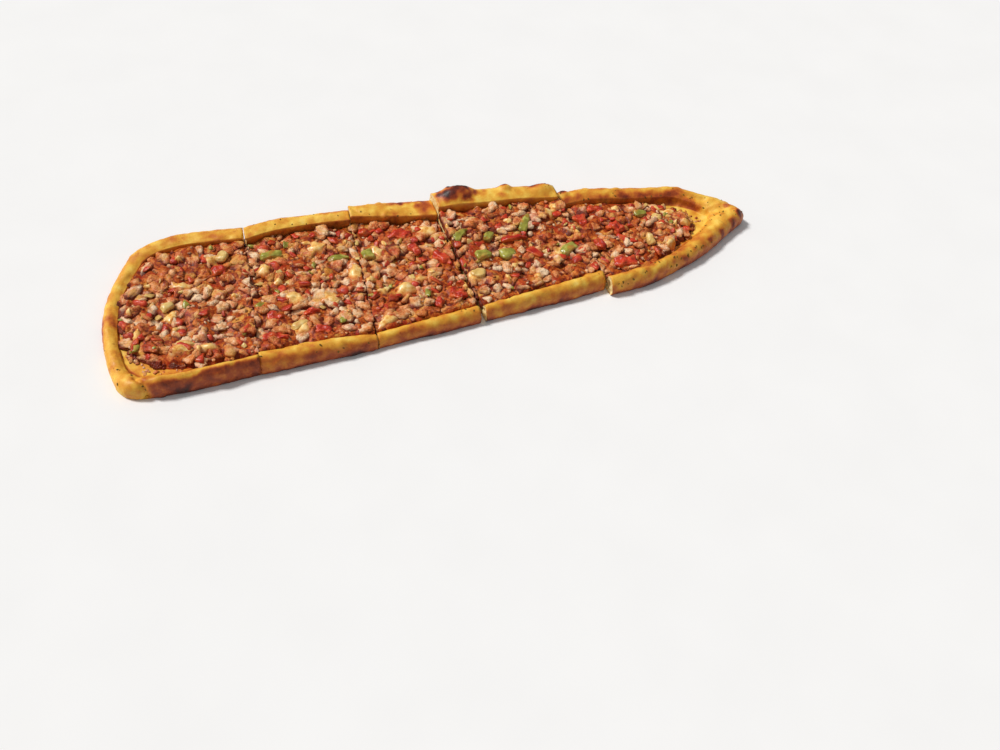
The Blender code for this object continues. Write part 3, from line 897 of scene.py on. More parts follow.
def sauce_bed(name, material):
    """The bed of sauce of one slice."""
    low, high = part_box(name + "_filling")
    count = int((high.x - low.x) / MM / BED_STEP)
    front, back = rims_of(name, "front", count), rims_of(name, "back", count)
    share = np.linspace(0, 1, BED_ACROSS)[None, :, None]
    bare = [np.linalg.norm(rims.edge - rims.inner, axis=1) - SIDE_GAP for rims in (front, back)]
    ends = []
    for rims, width in zip((front, back), bare):
        into_rim = BED_INTO_RIM * np.clip(1 - width / 2, 0, 1)
        ends.append(rims.edge - unit(rims.inner - rims.outer) * into_rim[:, None])
    plan = ends[0][:, None] * (1 - share) + ends[1][:, None] * share
    flat = plan.reshape(-1, 2)
    floor = front.floor[:, None] * (1 - share[..., 0]) + back.floor[:, None] * share[..., 0]
    lumps = LUMP_HEIGHT * waves(flat, LUMP_SIZE)
    for i, (height, length) in enumerate(BED_LUMPS):
        lumps = lumps + height * waves(flat, length, 20 + i)
    span = np.linalg.norm(ends[1] - ends[0], axis=1)[:, None]
    inside = np.minimum(share[..., 0], 1 - share[..., 0]) * span
    open_end = np.where(share[..., 0] < 0.5, bare[0][:, None], bare[1][:, None])
    is_open = open_end > BARE_FROM
    taper = eased(inside / np.where(is_open, OPEN_TAPER, RIM_TAPER) + np.where(is_open, 0.0, RIM_START))
    depth = np.maximum((GAP + FILL_DEPTH - BED_DROP + lumps.reshape(floor.shape)) * taper, THINNEST_BED)
    top = np.concatenate([plan, (floor + depth)[..., None]], axis=2)
    bottom = np.concatenate([plan, (floor - BED_UNDER)[..., None]], axis=2)
    points, faces = slab(top, bottom, name not in CLOSED_LEFT, name not in CLOSED_RIGHT)
    points, faces, _ = merged(points, faces)
    mesh = mesh_from(name + "_sauce", points, faces, {})
    made = add_object(name + "_sauce", mesh, material, "meat_filling", [name + "_filling"])
    print(made.name, len(made.data.polygons), "faces")
    return made


def cheese_patches(look):
    """Where melted cheese has run over everything, from 0 to 1."""
    return look.span(look.noise(13, 4, 0.62, warp=0.5), 0.53, 0.64, 0.0, 0.75)


def tomato_patches(look):
    """Where crushed tomato colours everything, from 0 to 1."""
    layer = look.node("Mapping", {"Vector": look.place(), "Location": (0.3, 0.1, 0.2)}).outputs[0]
    return look.span(look.noise(11, 4, 0.62, layer, 0.6), 0.52, 0.62, 0.0, 0.8)


def sauce_finish():
    """Crushed tomato, oil and melted cheese in patches from dark red to orange and gold; the dark red is partly
    painted shade between the dice.
    """
    look = Finish("tomato_oil_and_cheese", Specular_IOR_Level=0.2, Coat_Weight=0.04, Coat_Roughness=0.3)
    patches = look.noise(4, 4, 0.65, warp=0.6)
    # the darkest stops are partly painted shade: the bed is seen only down between the dice
    colour = look.ramp(
        patches,
        (0.36, (104, 26, 6)),
        (0.46, (150, 56, 16)),
        (0.56, (190, 90, 30)),
        (0.68, (222, 138, 58)),
    )
    colour = look.blend(look.math("MULTIPLY", tomato_patches(look), 0.7), colour, (178, 46, 16))
    melted = cheese_patches(look)
    golden = look.ramp(patches, (0.4, (214, 136, 46)), (0.6, (236, 184, 92)))
    colour = look.blend(melted, colour, golden)
    speck = look.span(look.noise(2.0, 3, 0.6), 0.6, 0.7)
    colour = look.blend(look.math("MULTIPLY", speck, 0.7), colour, (112, 20, 8))
    look.bump(look.noise(1.4, 3, 0.6), 0.6, 0.8)
    return look.finish(colour, look.span(look.noise(3, 2, 0.5), 0.3, 0.7, 0.36, 0.6))


sauce = sauce_finish()
for name in SLICES:
    sauce_bed(name, sauce)

# %% [markdown]
# ## Diced meat
#
# The heap is mostly lamb or beef cut into dice of about a centimetre, browned and wet with juice.
# A dice is made from a ball whose grid comes from a cube, so it has no poles. Its radius in each
# direction is the soft minimum of the distances to a few random planes, which gives flat, knife-cut
# faces with worn edges, and grooves along one direction stand for the grain of the meat. Two dozen
# such shapes, turned and stretched at random, never look like copies of each other.
#
# They are scattered by throwing darts: a dice stays only where it does not sit too deep in one
# that is there already. Where a dice reaches over a knife cut, it is cut flat too.

# %% Shapes for dice
def cube_ball(cells):
    """Directions and faces of a ball whose grid comes from a cube."""
    ticks = np.tan(np.linspace(-1, 1, cells + 1) * math.pi / 4)
    u, v = np.meshgrid(ticks, ticks, indexing="ij")
    sides, faces = [], []
    number = np.arange((cells + 1) ** 2).reshape(cells + 1, cells + 1)
    for axis in range(3):
        for sign in (-1, 1):
            side = np.zeros((cells + 1, cells + 1, 3))
            side[..., axis] = sign
            side[..., (axis + 1) % 3] = u
            side[..., (axis + 2) % 3] = v
            quads = np.stack([number[:-1, :-1], number[1:, :-1], number[1:, 1:], number[:-1, 1:]], axis=-1)
            faces.append(quads.reshape(-1, 4)[:, ::sign] + len(sides) * number.size)
            sides.append(side.reshape(-1, 3))
    points, faces = np.concatenate(sides), np.concatenate(faces)
    _, kept, index = np.unique(np.round(points, 5), axis=0, return_index=True, return_inverse=True)
    return unit(points[kept]), index.reshape(-1)[faces]


DICE_LUMPS = ((0.13, 1.1), (0.13, 0.55), (0.08, 0.27))  # depth and length against the half-size


def dice_shape(cells, sharpness, extra_cuts, groove=0.08):
    """A knife-cut dice of about unit half-size, with its grain along X."""
    ways, faces = cube_ball(cells)
    square = np.concatenate([np.eye(3), -np.eye(3)])
    normals = unit(square + chance.normal(0, 0.22, (6, 3)))
    distance = chance.uniform(0.72, 1.0, 6)
    corner = unit(chance.normal(0, 1, (extra_cuts, 3)))
    normals = np.concatenate([normals, corner])
    distance = np.concatenate([distance, chance.uniform(0.78, 1.02, extra_cuts)])
    reach = np.maximum(ways @ normals.T, 0) / distance
    radius = np.sum(reach**sharpness, axis=1) ** (-1 / sharpness)
    layer = chance.uniform(0, 90)
    for height, length in DICE_LUMPS:
        layer += 1
        radius = radius * (1 + height * waves(ways, length, layer))
    radius = radius * (1 + groove * waves(ways * [0.5, 1.7, 1.7], 0.2, layer + 1))
    return ways * radius[:, None], faces


def turned(spin, tilt_x, tilt_y):
    """A rotation as a matrix: tilts first, then a spin about Z."""
    return np.array(Euler((tilt_x, tilt_y, spin), "XYZ").to_matrix())


dice = [dice_shape(7, 8, 4) for _ in range(24)]
bits = [dice_shape(4, 6, 2) for _ in range(12)]
crumbs = [dice_shape(3, 6, 2, 0.0) for _ in range(8)]
print("one dice:", len(dice[0][0]), "points,", len(dice[0][1]), "faces")

# %% Scatter and cut the dice
OVERHANG = 2.2  # how far the filling sags over a wide knife cut
JAGS = (0.9, 5.0)  # depth and length of the ragged line where two slices meet


def limit_at(cut, places):
    """How far over a knife cut the filling may reach at each place. Neighbours' limits fit together."""
    on_line = np.clip((places - cut.start) @ cut.along, 0, cut.length)
    gap = cut.gaps[0] + (cut.gaps[1] - cut.gaps[0]) * on_line / cut.length
    jag = JAGS[0] * waves(np.column_stack([on_line, np.zeros(len(on_line))]), JAGS[1], cut.number)
    return np.minimum(gap / 2, OVERHANG) - 0.12 - cut.sign * jag


def trimmed(name, points):
    """Points of a piece with what reaches too far over a knife cut pressed back."""
    for cut in CUTS[name]:
        over = (points[:, :2] - cut.start) @ cut.outward - limit_at(cut, points[:, :2])
        points[:, :2] -= np.maximum(over, 0)[:, None] * cut.outward
    return points


def free_spots(name, tries, size_range, crowding, taken, margin):
    """Darts thrown on a slice's filling: places, sizes, and the ones already taken extended."""
    along, across = chance.uniform(-0.02, 1.02, tries), chance.uniform(0, 1, tries)
    tops, floors = heap_top(name, along, across)
    sizes = chance.uniform(*size_range, tries)
    near, _ = heap_top(name, along, np.zeros(tries))
    far, _ = heap_top(name, along, np.ones(tries))
    from_front = np.linalg.norm(tops[:, :2] - near[:, :2], axis=1)
    from_back = np.linalg.norm(far[:, :2] - tops[:, :2], axis=1)
    inside = np.minimum(from_front, from_back)
    for i in range(tries):
        if inside[i] < sizes[i] * margin:
            continue
        place = tops[i]
        gaps = (math.hypot(place[0] - x, place[1] - y) - crowding * (sizes[i] + r) for x, y, r in taken)
        if min(gaps, default=0) < 0:
            continue
        taken.append((place[0], place[1], sizes[i]))
        yield place, sizes[i], floors[i]


def joined(parts):
    """Many (points, faces, values) as one, with the faces renumbered."""
    points, faces, values, start = [], [], [], 0
    for part_points, part_faces, part_values in parts:
        points.append(part_points)
        faces.append(part_faces + start)
        values.append(part_values)
        start += len(part_points)
    merged_values = {key: np.concatenate([value[key] for value in values]) for key in values[0]}
    return np.concatenate(points), np.concatenate(faces), merged_values


DICE_STRETCH = (0.95, 1.35), (0.78, 1.05), (0.7, 1.0)  # least and most, along, across and up
DICE_TILT = 0.4  # in radians, how far a dice usually leans


def set_dice(name, shape, place, size, base, flat=1.0, sink=1.0, level=None):
    """One dice in the heap: turned, stretched, set down into the sauce and cut at the knife line."""
    local, faces = shape
    level = place[2] if level is None else level
    stretch = np.array([chance.uniform(*limits) for limits in DICE_STRETCH]) * [1, 1, flat]
    spin = turned(chance.uniform(0, 2 * math.pi), chance.normal(0, DICE_TILT), chance.normal(0, DICE_TILT))
    points = (local * stretch * size) @ spin.T
    half = points[:, 2].max()
    points = points + [place[0], place[1], place[2] - half * sink]
    points[:, 2] = np.maximum(points[:, 2], base + 0.3)
    # how low each point lies under its place's top; the finishes paint shade low down from it
    lowness = eased((level + 0.3 - points[:, 2]) / 4.0)
    before = points[:, :2].copy()
    points = trimmed(name, points)
    sliced = eased(np.linalg.norm(points[:, :2] - before, axis=1) / 0.3)
    shade = chance.uniform(0, 1)
    grain = local * size + chance.uniform(-50, 50, 3)
    skin = eased((local[:, 2] + 0.1) / 0.4)
    values = {
        "shade": np.full(len(points), shade),
        "low": lowness,
        "sliced": sliced,
        "skin": skin,
        "grain": grain * MM,
    }
    return points, faces, values


# %% The meat's finish
def meat_finish():
    """Browned diced meat: tan and pink faces, brown edges, wet with oil, and painted shade low down, dark red
    like juice.
    """
    look = Finish("browned_meat", Specular_IOR_Level=0.3, Coat_Weight=0.12, Coat_Roughness=0.3)
    grain = look.attribute("grain", "Vector")
    cloud = look.noise(4.5, 4, 0.6, grain)
    stretched = look.node("Mapping", {"Vector": grain, "Scale": (0.35, 1.3, 1.3)}).outputs[0]
    fibre = look.noise(0.9, 3, 0.6, stretched)
    shade = look.attribute("shade")
    value = look.math("ADD", look.math("MULTIPLY", shade, 0.4), look.math("MULTIPLY_ADD", cloud, 1.1, -0.55))
    value = look.math("ADD", value, look.math("MULTIPLY_ADD", fibre, 0.7, -0.35))
    value = look.math("ADD", value, look.math("MULTIPLY_ADD", look.noise(22, 3, 0.6), 1.4, -0.36))
    colour = look.ramp(
        value,
        (0.08, (122, 38, 12)),
        (0.26, (188, 84, 34)),
        (0.44, (226, 138, 74)),
        (0.6, (243, 178, 120)),
        (0.82, (254, 220, 180)),
    )
    oil = look.span(look.noise(8, 3, 0.5), 0.5, 0.66, 0.0, 0.55)
    colour = look.blend(oil, colour, look.blend(fibre, (212, 88, 16), (240, 148, 46)))
    colour = look.blend(look.math("MULTIPLY", tomato_patches(look), 0.6), colour, (206, 58, 18))
    colour = look.blend(cheese_patches(look), colour, look.blend(fibre, (216, 140, 50), (240, 192, 104)))
    colour = look.blend(look.attribute("sliced"), colour, (206, 138, 104))
    # painted shade: the lower a place lies on a dice, the darker and redder it is drawn, for the shade between
    # the dice and the juice there
    low = look.attribute("low")
    uneven = look.math("MULTIPLY_ADD", fibre, 0.4, -0.2)
    juice_and_shade = look.span(look.math("ADD", low, uneven), 0.25, 0.85, 0.0, 0.96)
    colour = look.blend(juice_and_shade, colour, look.ramp(cloud, (0.35, (78, 12, 2)), (0.65, (140, 38, 8))))
    knobs = look.noise(1.8, 2, 0.5, grain)
    look.bump(look.math("ADD", fibre, look.math("MULTIPLY", knobs, 1.2)), 1.1, 0.9)
    return look.finish(colour, look.span(fibre, 0.3, 0.7, 0.28, 0.5))


meat = meat_finish()

# %% [markdown]
# ## Large vegetables
#
# The solids hold each large piece of tomato, pepper and onion. Here a fine shape takes its place,
# with its middle read from the frame. A piece of pepper is a strip of wall: smooth, dark skin on
# the outside of its bend and pale flesh on its cut sides. Tomato is soft and wet with torn skin,
# and onion is a pale, bent leaf.

# %% Build the large vegetables
# length, width, thickness, turn about Z in degrees, bend in degrees along the length
VEGETABLES = {
    "green_pepper_1": (18, 8, 6, 0, 40),
    "green_pepper_2": (17, 9, 6, -3, 35),
    "green_pepper_3": (10, 10, 6, 10, 25),
    "green_pepper_4": (8, 8, 6, 25, 20),
    "green_pepper_5": (18, 9, 6, 35, 40),
    "green_pepper_6": (13, 12, 8, 0, 10),
    "green_pepper_7": (14, 12, 8, 10, 10),
    "green_pepper_8": (23, 9, 7, 55, 45),
    "green_pepper_9": (18, 9, 6, 20, 40),
    "green_pepper_10": (13, 7, 6, 45, 30),
    "green_pepper_11": (11, 7, 6, 0, 30),
    "tomato_1": (13, 12, 8, -25, 10),
    "tomato_2": (20, 12, 8, -15, 15),
    "tomato_3": (13, 9, 7, -6, 10),
    "tomato_4": (13, 10, 7, -25, 10),
    "tomato_5": (13, 8, 7, -6, 10),
    "tomato_6": (20, 12, 8, -14, 15),
    "tomato_7": (14, 9, 7, -4, 10),
    "tomato_8": (13, 9, 7, -70, 10),
    "tomato_9": (19, 13, 8, -62, 15),
    "tomato_10": (10, 8, 7, -3, 10),
    "tomato_11": (10, 10, 7, 23, 10),
    "tomato_12": (15, 12, 8, -50, 15),
    "tomato_13": (14, 13, 8, -77, 15),
    "tomato_14": (15, 13, 8, -60, 10),
    "tomato_15": (21, 13, 8, -10, 15),
    "tomato_16": (14, 13, 8, -64, 10),
    "tomato_17": (14, 8, 7, -8, 10),
    "red_pepper_1": (22, 7, 6, -6, 35),
    "red_pepper_2": (15, 8, 6, -50, 30),
    "onion_1": (15, 8, 7, 80, 30),
    "onion_2": (9, 8, 6, -36, 15),
    "onion_3": (12, 9, 6, 60, 20),
    "onion_4": (11, 7, 6, 30, 25),
    "onion_5": (15, 7, 6, -15, 35),
    "onion_6": (14, 9, 6, 20, 20),
    "onion_7": (12, 9, 6, -10, 20),
}
VEGETABLE_CELLS = 12
VEGETABLE_ROUNDNESS = {"green_pepper": 0.6, "red_pepper": 0.6, "tomato": 0.72, "onion": 0.62}
VEGETABLE_LUMPS = {"green_pepper": 0.9, "red_pepper": 0.9, "tomato": 1.9, "onion": 0.8}
VEGETABLE_TAPER = 0.5  # how much narrower one end of a piece is


def vegetable(name, material):
    """A large piece of vegetable over its solid."""
    length, width, thickness, turn, bend = VEGETABLES[name]
    kind = name.rsplit("_", 1)[0]
    ways, faces = cube_ball(VEGETABLE_CELLS)
    boxy = np.sign(ways) * np.abs(ways) ** VEGETABLE_ROUNDNESS[kind]
    boxy = boxy / np.abs(boxy).max(axis=0)
    layer = float(np.abs(length * 3 + width + turn) % 37)
    taper = VEGETABLE_TAPER * (layer % 2 - 1)
    boxy[:, 1] *= 1 - abs(taper) / 2 + taper * boxy[:, 0] / 2
    local = boxy * [length / 2, width / 2, thickness / 2]
    bumps = VEGETABLE_LUMPS[kind]
    lumps = bumps * (waves(local, 5.0, layer) - 0.4) + 0.3 * bumps * waves(local, 1.8, layer + 1)
    local = local + ways * lumps[:, None]
    lever = length / math.radians(bend)
    angle = local[:, 0] / lever
    arm = lever + local[:, 2]
    bent = np.column_stack([arm * np.sin(angle), local[:, 1], arm * np.cos(angle) - lever])
    points = bent @ turned(math.radians(turn), 0, 0).T
    low, high = (np.array(corner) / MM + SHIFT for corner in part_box(name))
    middle = (low + high) / 2
    points = points - (points.min(axis=0) + points.max(axis=0)) / 2 + middle
    grain = local + layer * 3
    off_edges = eased(1.6 * (1.05 - np.abs(2 * local[:, 1] / width)))
    skin = eased((local[:, 2] / thickness + 0.12) / 0.3) * off_edges
    # low: how low each point lies, from which the finish paints shade in a sauce red
    values = {"skin": skin, "grain": grain * MM, "low": eased((middle[2] + 0.5 - points[:, 2]) / 3)}
    mesh = mesh_from(name + "_piece", points, faces, values)
    return add_object(name + "_piece", mesh, material, kind, [name])


def vegetable_finish(name, skin, flesh, sheen, depth):
    """Vegetable skin over paler flesh, both uneven, with sauce and painted shade low down."""
    look = Finish(name, Specular_IOR_Level=0.35, Coat_Weight=0.16, Coat_Roughness=0.22)
    grain = look.attribute("grain", "Vector")
    cloud = look.noise(5, 3, 0.55, grain)
    fine = look.noise(1.2, 3, 0.6, grain)
    outer = look.ramp(cloud, (0.3, skin[0]), (0.55, skin[1]), (0.75, skin[2]))
    inner = look.ramp(fine, (0.3, flesh[0]), (0.7, flesh[1]))
    colour = look.blend(look.attribute("skin"), inner, outer)
    oil = look.span(look.noise(7, 3, 0.5), 0.5, 0.7, 0.0, 0.5)
    colour = look.blend(oil, colour, (204, 104, 34))
    # painted shade in a sauce red: the lower a place lies, the darker it is drawn
    colour = look.blend(look.math("MULTIPLY", look.attribute("low"), 0.75), colour, (120, 34, 12))
    look.bump(look.math("ADD", fine, cloud), depth, 0.7)
    return look.finish(colour, look.span(fine, 0.3, 0.7, sheen, sheen + 0.16))


greens = (116, 110, 34), (160, 156, 60), (196, 192, 102)
vegetable_looks = {
    "green_pepper": vegetable_finish(
        "green_pepper_wall", greens, ((168, 160, 70), (204, 192, 104)), sheen=0.22, depth=0.2
    ),
    "tomato": vegetable_finish(
        "baked_tomato",
        ((152, 26, 12), (204, 56, 26), (232, 108, 56)),
        ((200, 66, 28), (228, 120, 58)),
        sheen=0.26,
        depth=0.6,
    ),
    "red_pepper": vegetable_finish(
        "red_pepper_wall",
        ((150, 22, 10), (190, 40, 18), (218, 84, 40)),
        ((206, 84, 36), (226, 128, 64)),
        sheen=0.22,
        depth=0.2,
    ),
    "onion": vegetable_finish(
        "baked_onion",
        ((206, 164, 84), (228, 194, 118), (244, 224, 170)),
        ((210, 160, 76), (234, 204, 128)),
        sheen=0.24,
        depth=0.4,
    ),
}
large = [vegetable(name, vegetable_looks[name.rsplit("_", 1)[0]]) for name in VEGETABLES]
print(len(large), "large pieces of vegetable")

# %% [markdown]
# ## Fill the heap
#
# The big dice go in first, then smaller bits in the gaps, then crumbs. The large vegetables keep
# their places free. Small pieces of tomato, pepper and onion are strewn in the same way, each
# kind as one mesh.

# %% Meat in every slice
LARGE_SIZE = (4.4, 7.4)  # half-sizes in mm
SMALL_SIZE = (2.0, 3.4)
CRUMB_SIZE = (1.0, 1.8)


def kept_free(name, share=0.4):
    """Circles that cover the large vegetables of a slice, with their radius as a share of the width."""
    low, high = (np.array(corner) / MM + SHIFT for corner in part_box(name + "_filling"))
    circles = []
    for piece, (length, width, _, turn, _) in VEGETABLES.items():
        a, b = (np.array(corner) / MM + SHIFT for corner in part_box(piece))
        x, y = ((a + b) / 2)[:2]
        way = np.array([math.cos(math.radians(turn)), math.sin(math.radians(turn))])
        for step in (-0.28, 0.28):
            circles.append((x + way[0] * length * step, y + way[1] * length * step, share * width))
    return [circle for circle in circles if low[0] - 8 < circle[0] < high[0] + 8]


BARE_SLICES = ("slice_1", "slice_5")
LOOSE_BITS = 60  # thrown on the bare dough of such a slice
HEAP_MAPS = {}


def loose_spots(name, tries):
    """Places on the bare dough between a rim and the filling, denser by the filling, with sizes."""
    for _ in range(tries):
        side = "front" if chance.uniform() < 0.6 else "back"
        rims = rims_of(name, side, 200)
        k = chance.integers(200)
        wide = np.linalg.norm(rims.edge[k] - rims.inner[k]) - SIDE_GAP
        if wide < 2:
            continue
        share = math.sqrt(chance.uniform(0.1, 1))
        plan = rims.inner[k] * (1 - share) + rims.edge[k] * share
        yield np.array([*plan, rims.floor[k]]), chance.uniform(0.8, 1.6 + 2.2 * share**3)


def height_map(points):
    """The highest point over each square millimetre of some points, softened, and its low corner."""
    corner = points[:, :2].min(axis=0) - 5
    cells = (points[:, :2] - corner).astype(int)
    heights = np.full(cells.max(axis=0) + 7, FLOOR)
    np.maximum.at(heights, (cells[:, 0], cells[:, 1]), points[:, 2])
    for axis in (0, 1):
        heights = np.maximum.reduce([np.roll(heights, step, axis) for step in (-1, 0, 1)])
    for _ in range(2):
        for axis in (0, 1):
            heights = (np.roll(heights, -1, axis) + 2 * heights + np.roll(heights, 1, axis)) / 4
    return heights, corner


def heights_over(name, places):
    """Height of a slice's heap at some places, between the map's cells."""
    heights, corner = HEAP_MAPS[name]
    at = np.clip(places - corner - 0.5, 0, np.array(heights.shape) - 2.001)
    i, j = at.astype(int).T
    t = at % 1
    near, far = (
        heights[i, j + step] * (1 - t[:, 0]) + heights[i + 1, j + step] * t[:, 0] for step in (0, 1)
    )
    return near * (1 - t[:, 1]) + far * t[:, 1]


# Shapes, places tried, half-sizes, crowding, margin from the rims, lift and unevenness in mm
HEAP_LAYERS = (
    (dice, 2600, LARGE_SIZE, 0.62, 0.72, 0.6, 0.9),
    (bits, 2600, SMALL_SIZE, 0.72, 0.5, -1.5, 0.8),
    (crumbs, 900, CRUMB_SIZE, 0.62, 0.4, -1.6, 0.5),
)
HIGHEST_LIFT = 1.6  # most that a piece's top is set above the filling's surface there
for name in SLICES:
    taken = kept_free(name)
    parts = []
    for shapes, tries, sizes, crowding, margin, lift, unevenness in HEAP_LAYERS:
        for place, size, floor in free_spots(name, tries, sizes, crowding, taken, margin):
            high = max(place[2] + lift + chance.normal(0, unevenness), floor + size * 0.9)
            high = min(high, place[2] + HIGHEST_LIFT)
            shape = shapes[chance.integers(len(shapes))]
            top = np.array([place[0], place[1], high])
            parts.append(set_dice(name, shape, top, size, floor, level=max(place[2], high - 1.0)))
    if name in BARE_SLICES:
        for place, size in loose_spots(name, LOOSE_BITS):
            top = place + [0, 0, size * 0.8]
            shape = bits[chance.integers(len(bits))]
            parts.append(set_dice(name, shape, top, size, place[2] - 0.5, level=top[2] + 0.8))
    points, faces, values = joined(parts)
    HEAP_MAPS[name] = height_map(points)
    heap = add_object(name + "_meat", mesh_from(name + "_meat", points, faces, values), meat, "meat_filling")
    print(heap.name, len(parts), "pieces,", 2 * len(faces), "triangles")

# %% Small pieces strewn over the heap
def strewn(name, slot, material, shapes, per_slice, sizes, squash, lift, spacing):
    """Small pieces of one kind on all five slices, as one mesh."""
    parts = []
    for owner in SLICES:
        area = np.prod([(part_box(owner + "_filling")[1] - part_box(owner + "_filling")[0])[k] for k in (0, 1)])
        wanted = round(per_slice * area / TYPICAL_AREA)
        found = free_spots(owner, wanted * 12, sizes, spacing, kept_free(owner), 1.2)
        for place, size, floor in itertools.islice(found, wanted):
            top = place + [0, 0, lift]
            shape = shapes[chance.integers(len(shapes))]
            parts.append(set_dice(owner, shape, top, size, floor, squash, 0.8))
    points, faces, values = joined(parts)
    made = add_object(name, mesh_from(name, points, faces, values), material, slot)
    print(made.name, len(parts), "pieces,", 2 * len(faces), "triangles")
    return made


def cheese_finish():
    """Melted cheese: pale yellow, golden where it browned, orange where oil runs off it."""
    look = Finish("melted_cheese", Specular_IOR_Level=0.35, Coat_Weight=0.2, Coat_Roughness=0.25)
    grain = look.attribute("grain", "Vector")
    cloud = look.noise(4, 3, 0.6, grain)
    colour = look.ramp(
        cloud,
        (0.3, (214, 130, 50)),
        (0.46, (236, 180, 92)),
        (0.6, (248, 210, 134)),
        (0.75, (254, 232, 178)),
    )
    colour = look.blend(look.math("MULTIPLY", look.attribute("low"), 0.9), colour, (196, 84, 24))
    look.bump(look.noise(2, 3, 0.5, grain), 0.5, 0.6)
    return look.finish(colour, look.span(cloud, 0.3, 0.7, 0.24, 0.4))


TYPICAL_AREA = 0.0105  # square metres of filling on a middle slice
soft_bits = [dice_shape(5, 5, 1, 0.02) for _ in range(10)]
knife_bits = [dice_shape(5, 12, 0, 0.01) for _ in range(8)]
# Piece, kind, shapes, how many on a slice, half-sizes, squash, lift and spacing
STREWN = (
    ("tomato_bits", "tomato", soft_bits, 24, (2.2, 4.6), 0.6, 0.5, 0.9),
    ("pepper_bits", "green_pepper", knife_bits, 5, (1.2, 2.6), 0.6, 0.6, 1.1),
    ("onion_bits", "onion", knife_bits, 7, (1.6, 3.0), 0.4, 0.1, 1.1),
)
for piece, kind, *placing in STREWN:
    strewn(piece, kind, vegetable_looks[kind], *placing)

# %% [markdown]
# ## Melted cheese
#
# Cheese melts over the dice like a wet cloth. Each patch is a disc-shaped grid laid over the
# height map of the heap: it follows the dice below it, bulges a little in its middle, and its
# ragged edge dips in between them.

# %% Drape the cheese
# The patches that catch the eye: slice, middle, half-length, half-width, turn in degrees
CHEESE = (
    ("slice_1", (-178, 43), 11, 6, 10),
    ("slice_1", (-209, 19), 8, 5, -20),
    ("slice_1", (-222, -10), 7, 6, 30),
    ("slice_1", (-218, -47), 10, 5, 5),
    ("slice_1", (-200, -49), 7, 4, -15),
    ("slice_2", (-102, 35), 9, 7, 20),
    ("slice_2", (-146, 19), 8, 5, -10),
    ("slice_2", (-78, -1), 7, 9, 10),
    ("slice_2", (-130, -16), 9, 7, 15),
    ("slice_2", (-133, -47), 10, 6, 8),
    ("slice_2", (-103, -22), 10, 8, 30),
    ("slice_3", (-70, -58), 9, 5, 15),
    ("slice_3", (-46, -28), 10, 7, 10),
    ("slice_3", (-56, 19), 6, 8, 30),
    ("slice_3", (-10, 33), 9, 6, -15),
    ("slice_4", (12, -31), 8, 5, 5),
    ("slice_4", (88, -22), 8, 5, -10),
    ("slice_4", (96, 22), 6, 6, 0),
    ("slice_5", (158, 20), 5, 4, 20),
    ("slice_5", (203, 6), 9, 5, -20),
    ("slice_5", (186, -34), 8, 4, 25),
)
MORE_CHEESE = 7  # further small patches on each slice
CHEESE_GRID = 12
CHEESE_THICKNESS = 1.3
CHEESE_EDGE_DROP = 1.3  # how far a patch's edge dips between the dice


def cheese_patch(name, middle, half_length, half_width, turn):
    """One melted patch: a ragged disc draped over the heap."""
    ticks = np.linspace(-1, 1, CHEESE_GRID)
    u, v = np.meshgrid(ticks, ticks, indexing="ij")
    disc = np.stack([u * np.sqrt(1 - v * v / 2), v * np.sqrt(1 - u * u / 2)], axis=-1)
    away = np.linalg.norm(disc, axis=-1)
    layer = chance.uniform(0, 90)
    ragged = 1 + 0.4 * waves(disc.reshape(-1, 2), 0.55, layer).reshape(away.shape)
    flat = disc * ragged[..., None] * [half_length, half_width]
    c, s = math.cos(math.radians(turn)), math.sin(math.radians(turn))
    plan = flat @ np.array([[c, s], [-s, c]]) + middle
    height = heights_over(name, plan.reshape(-1, 2)).reshape(away.shape)
    wrinkles = waves(plan.reshape(-1, 2), 2.6, layer).reshape(away.shape)
    bulge = CHEESE_THICKNESS * (1 - away**2) - CHEESE_EDGE_DROP * away**4 + 0.35 * wrinkles
    top = np.concatenate([plan, np.maximum(height - 0.35 + bulge, FLOOR + 0.6)[..., None]], axis=-1)
    bottom = top - [0, 0, 1.0]
    points, faces = slab(top, bottom)
    points = trimmed(name, points)
    edge = eased((np.tile(away.ravel(), 2) - 0.45) / 0.6)
    low = np.concatenate([edge, np.ones(len(points) - len(edge))])
    values = {"grain": points * MM + chance.uniform(0, 1, 3), "low": low}
    return points, faces, values


def draped_cheese(name, material):
    """All patches of cheese as one mesh: the ones in the table, then small ones at random."""
    parts = [cheese_patch(*patch) for patch in CHEESE]
    for owner in SLICES:
        found = free_spots(owner, MORE_CHEESE * 10, (2.4, 4.6), 1.1, kept_free(owner, 0.6), 1.4)
        for place, size, _ in itertools.islice(found, MORE_CHEESE):
            parts.append(cheese_patch(owner, place[:2], size * 1.2, size * 0.8, chance.uniform(0, 180)))
    points, faces, values = joined(parts)
    made = add_object(name, mesh_from(name, points, faces, values), material, "meat_filling")
    print(made.name, len(parts), "patches,", 2 * len(faces), "triangles")
    return made


cheese = draped_cheese("melted_cheese", cheese_finish())

# %% [markdown]
# ## Herb flecks
#
# Dried herbs from the filling stuck to the crust while it was brushed with oil. They are tiny
# brown flakes, most of them by the pointed tip.

# %% Scatter the flecks
FLECKS = {"slice_1": 7, "slice_2": 16, "slice_3": 9, "slice_4": 6, "slice_5": 64}
FLECK_SIZE = (0.3, 0.75)


def fleck_finish():
    """Dried herbs, brown to olive."""
    look = Finish("dried_herbs", Specular_IOR_Level=0.2, Roughness=0.8)
    tone = look.ramp(look.noise(1.5, 2, 0.5), (0.35, (76, 58, 22)), (0.65, (128, 100, 38)))
    return look.finish(tone)


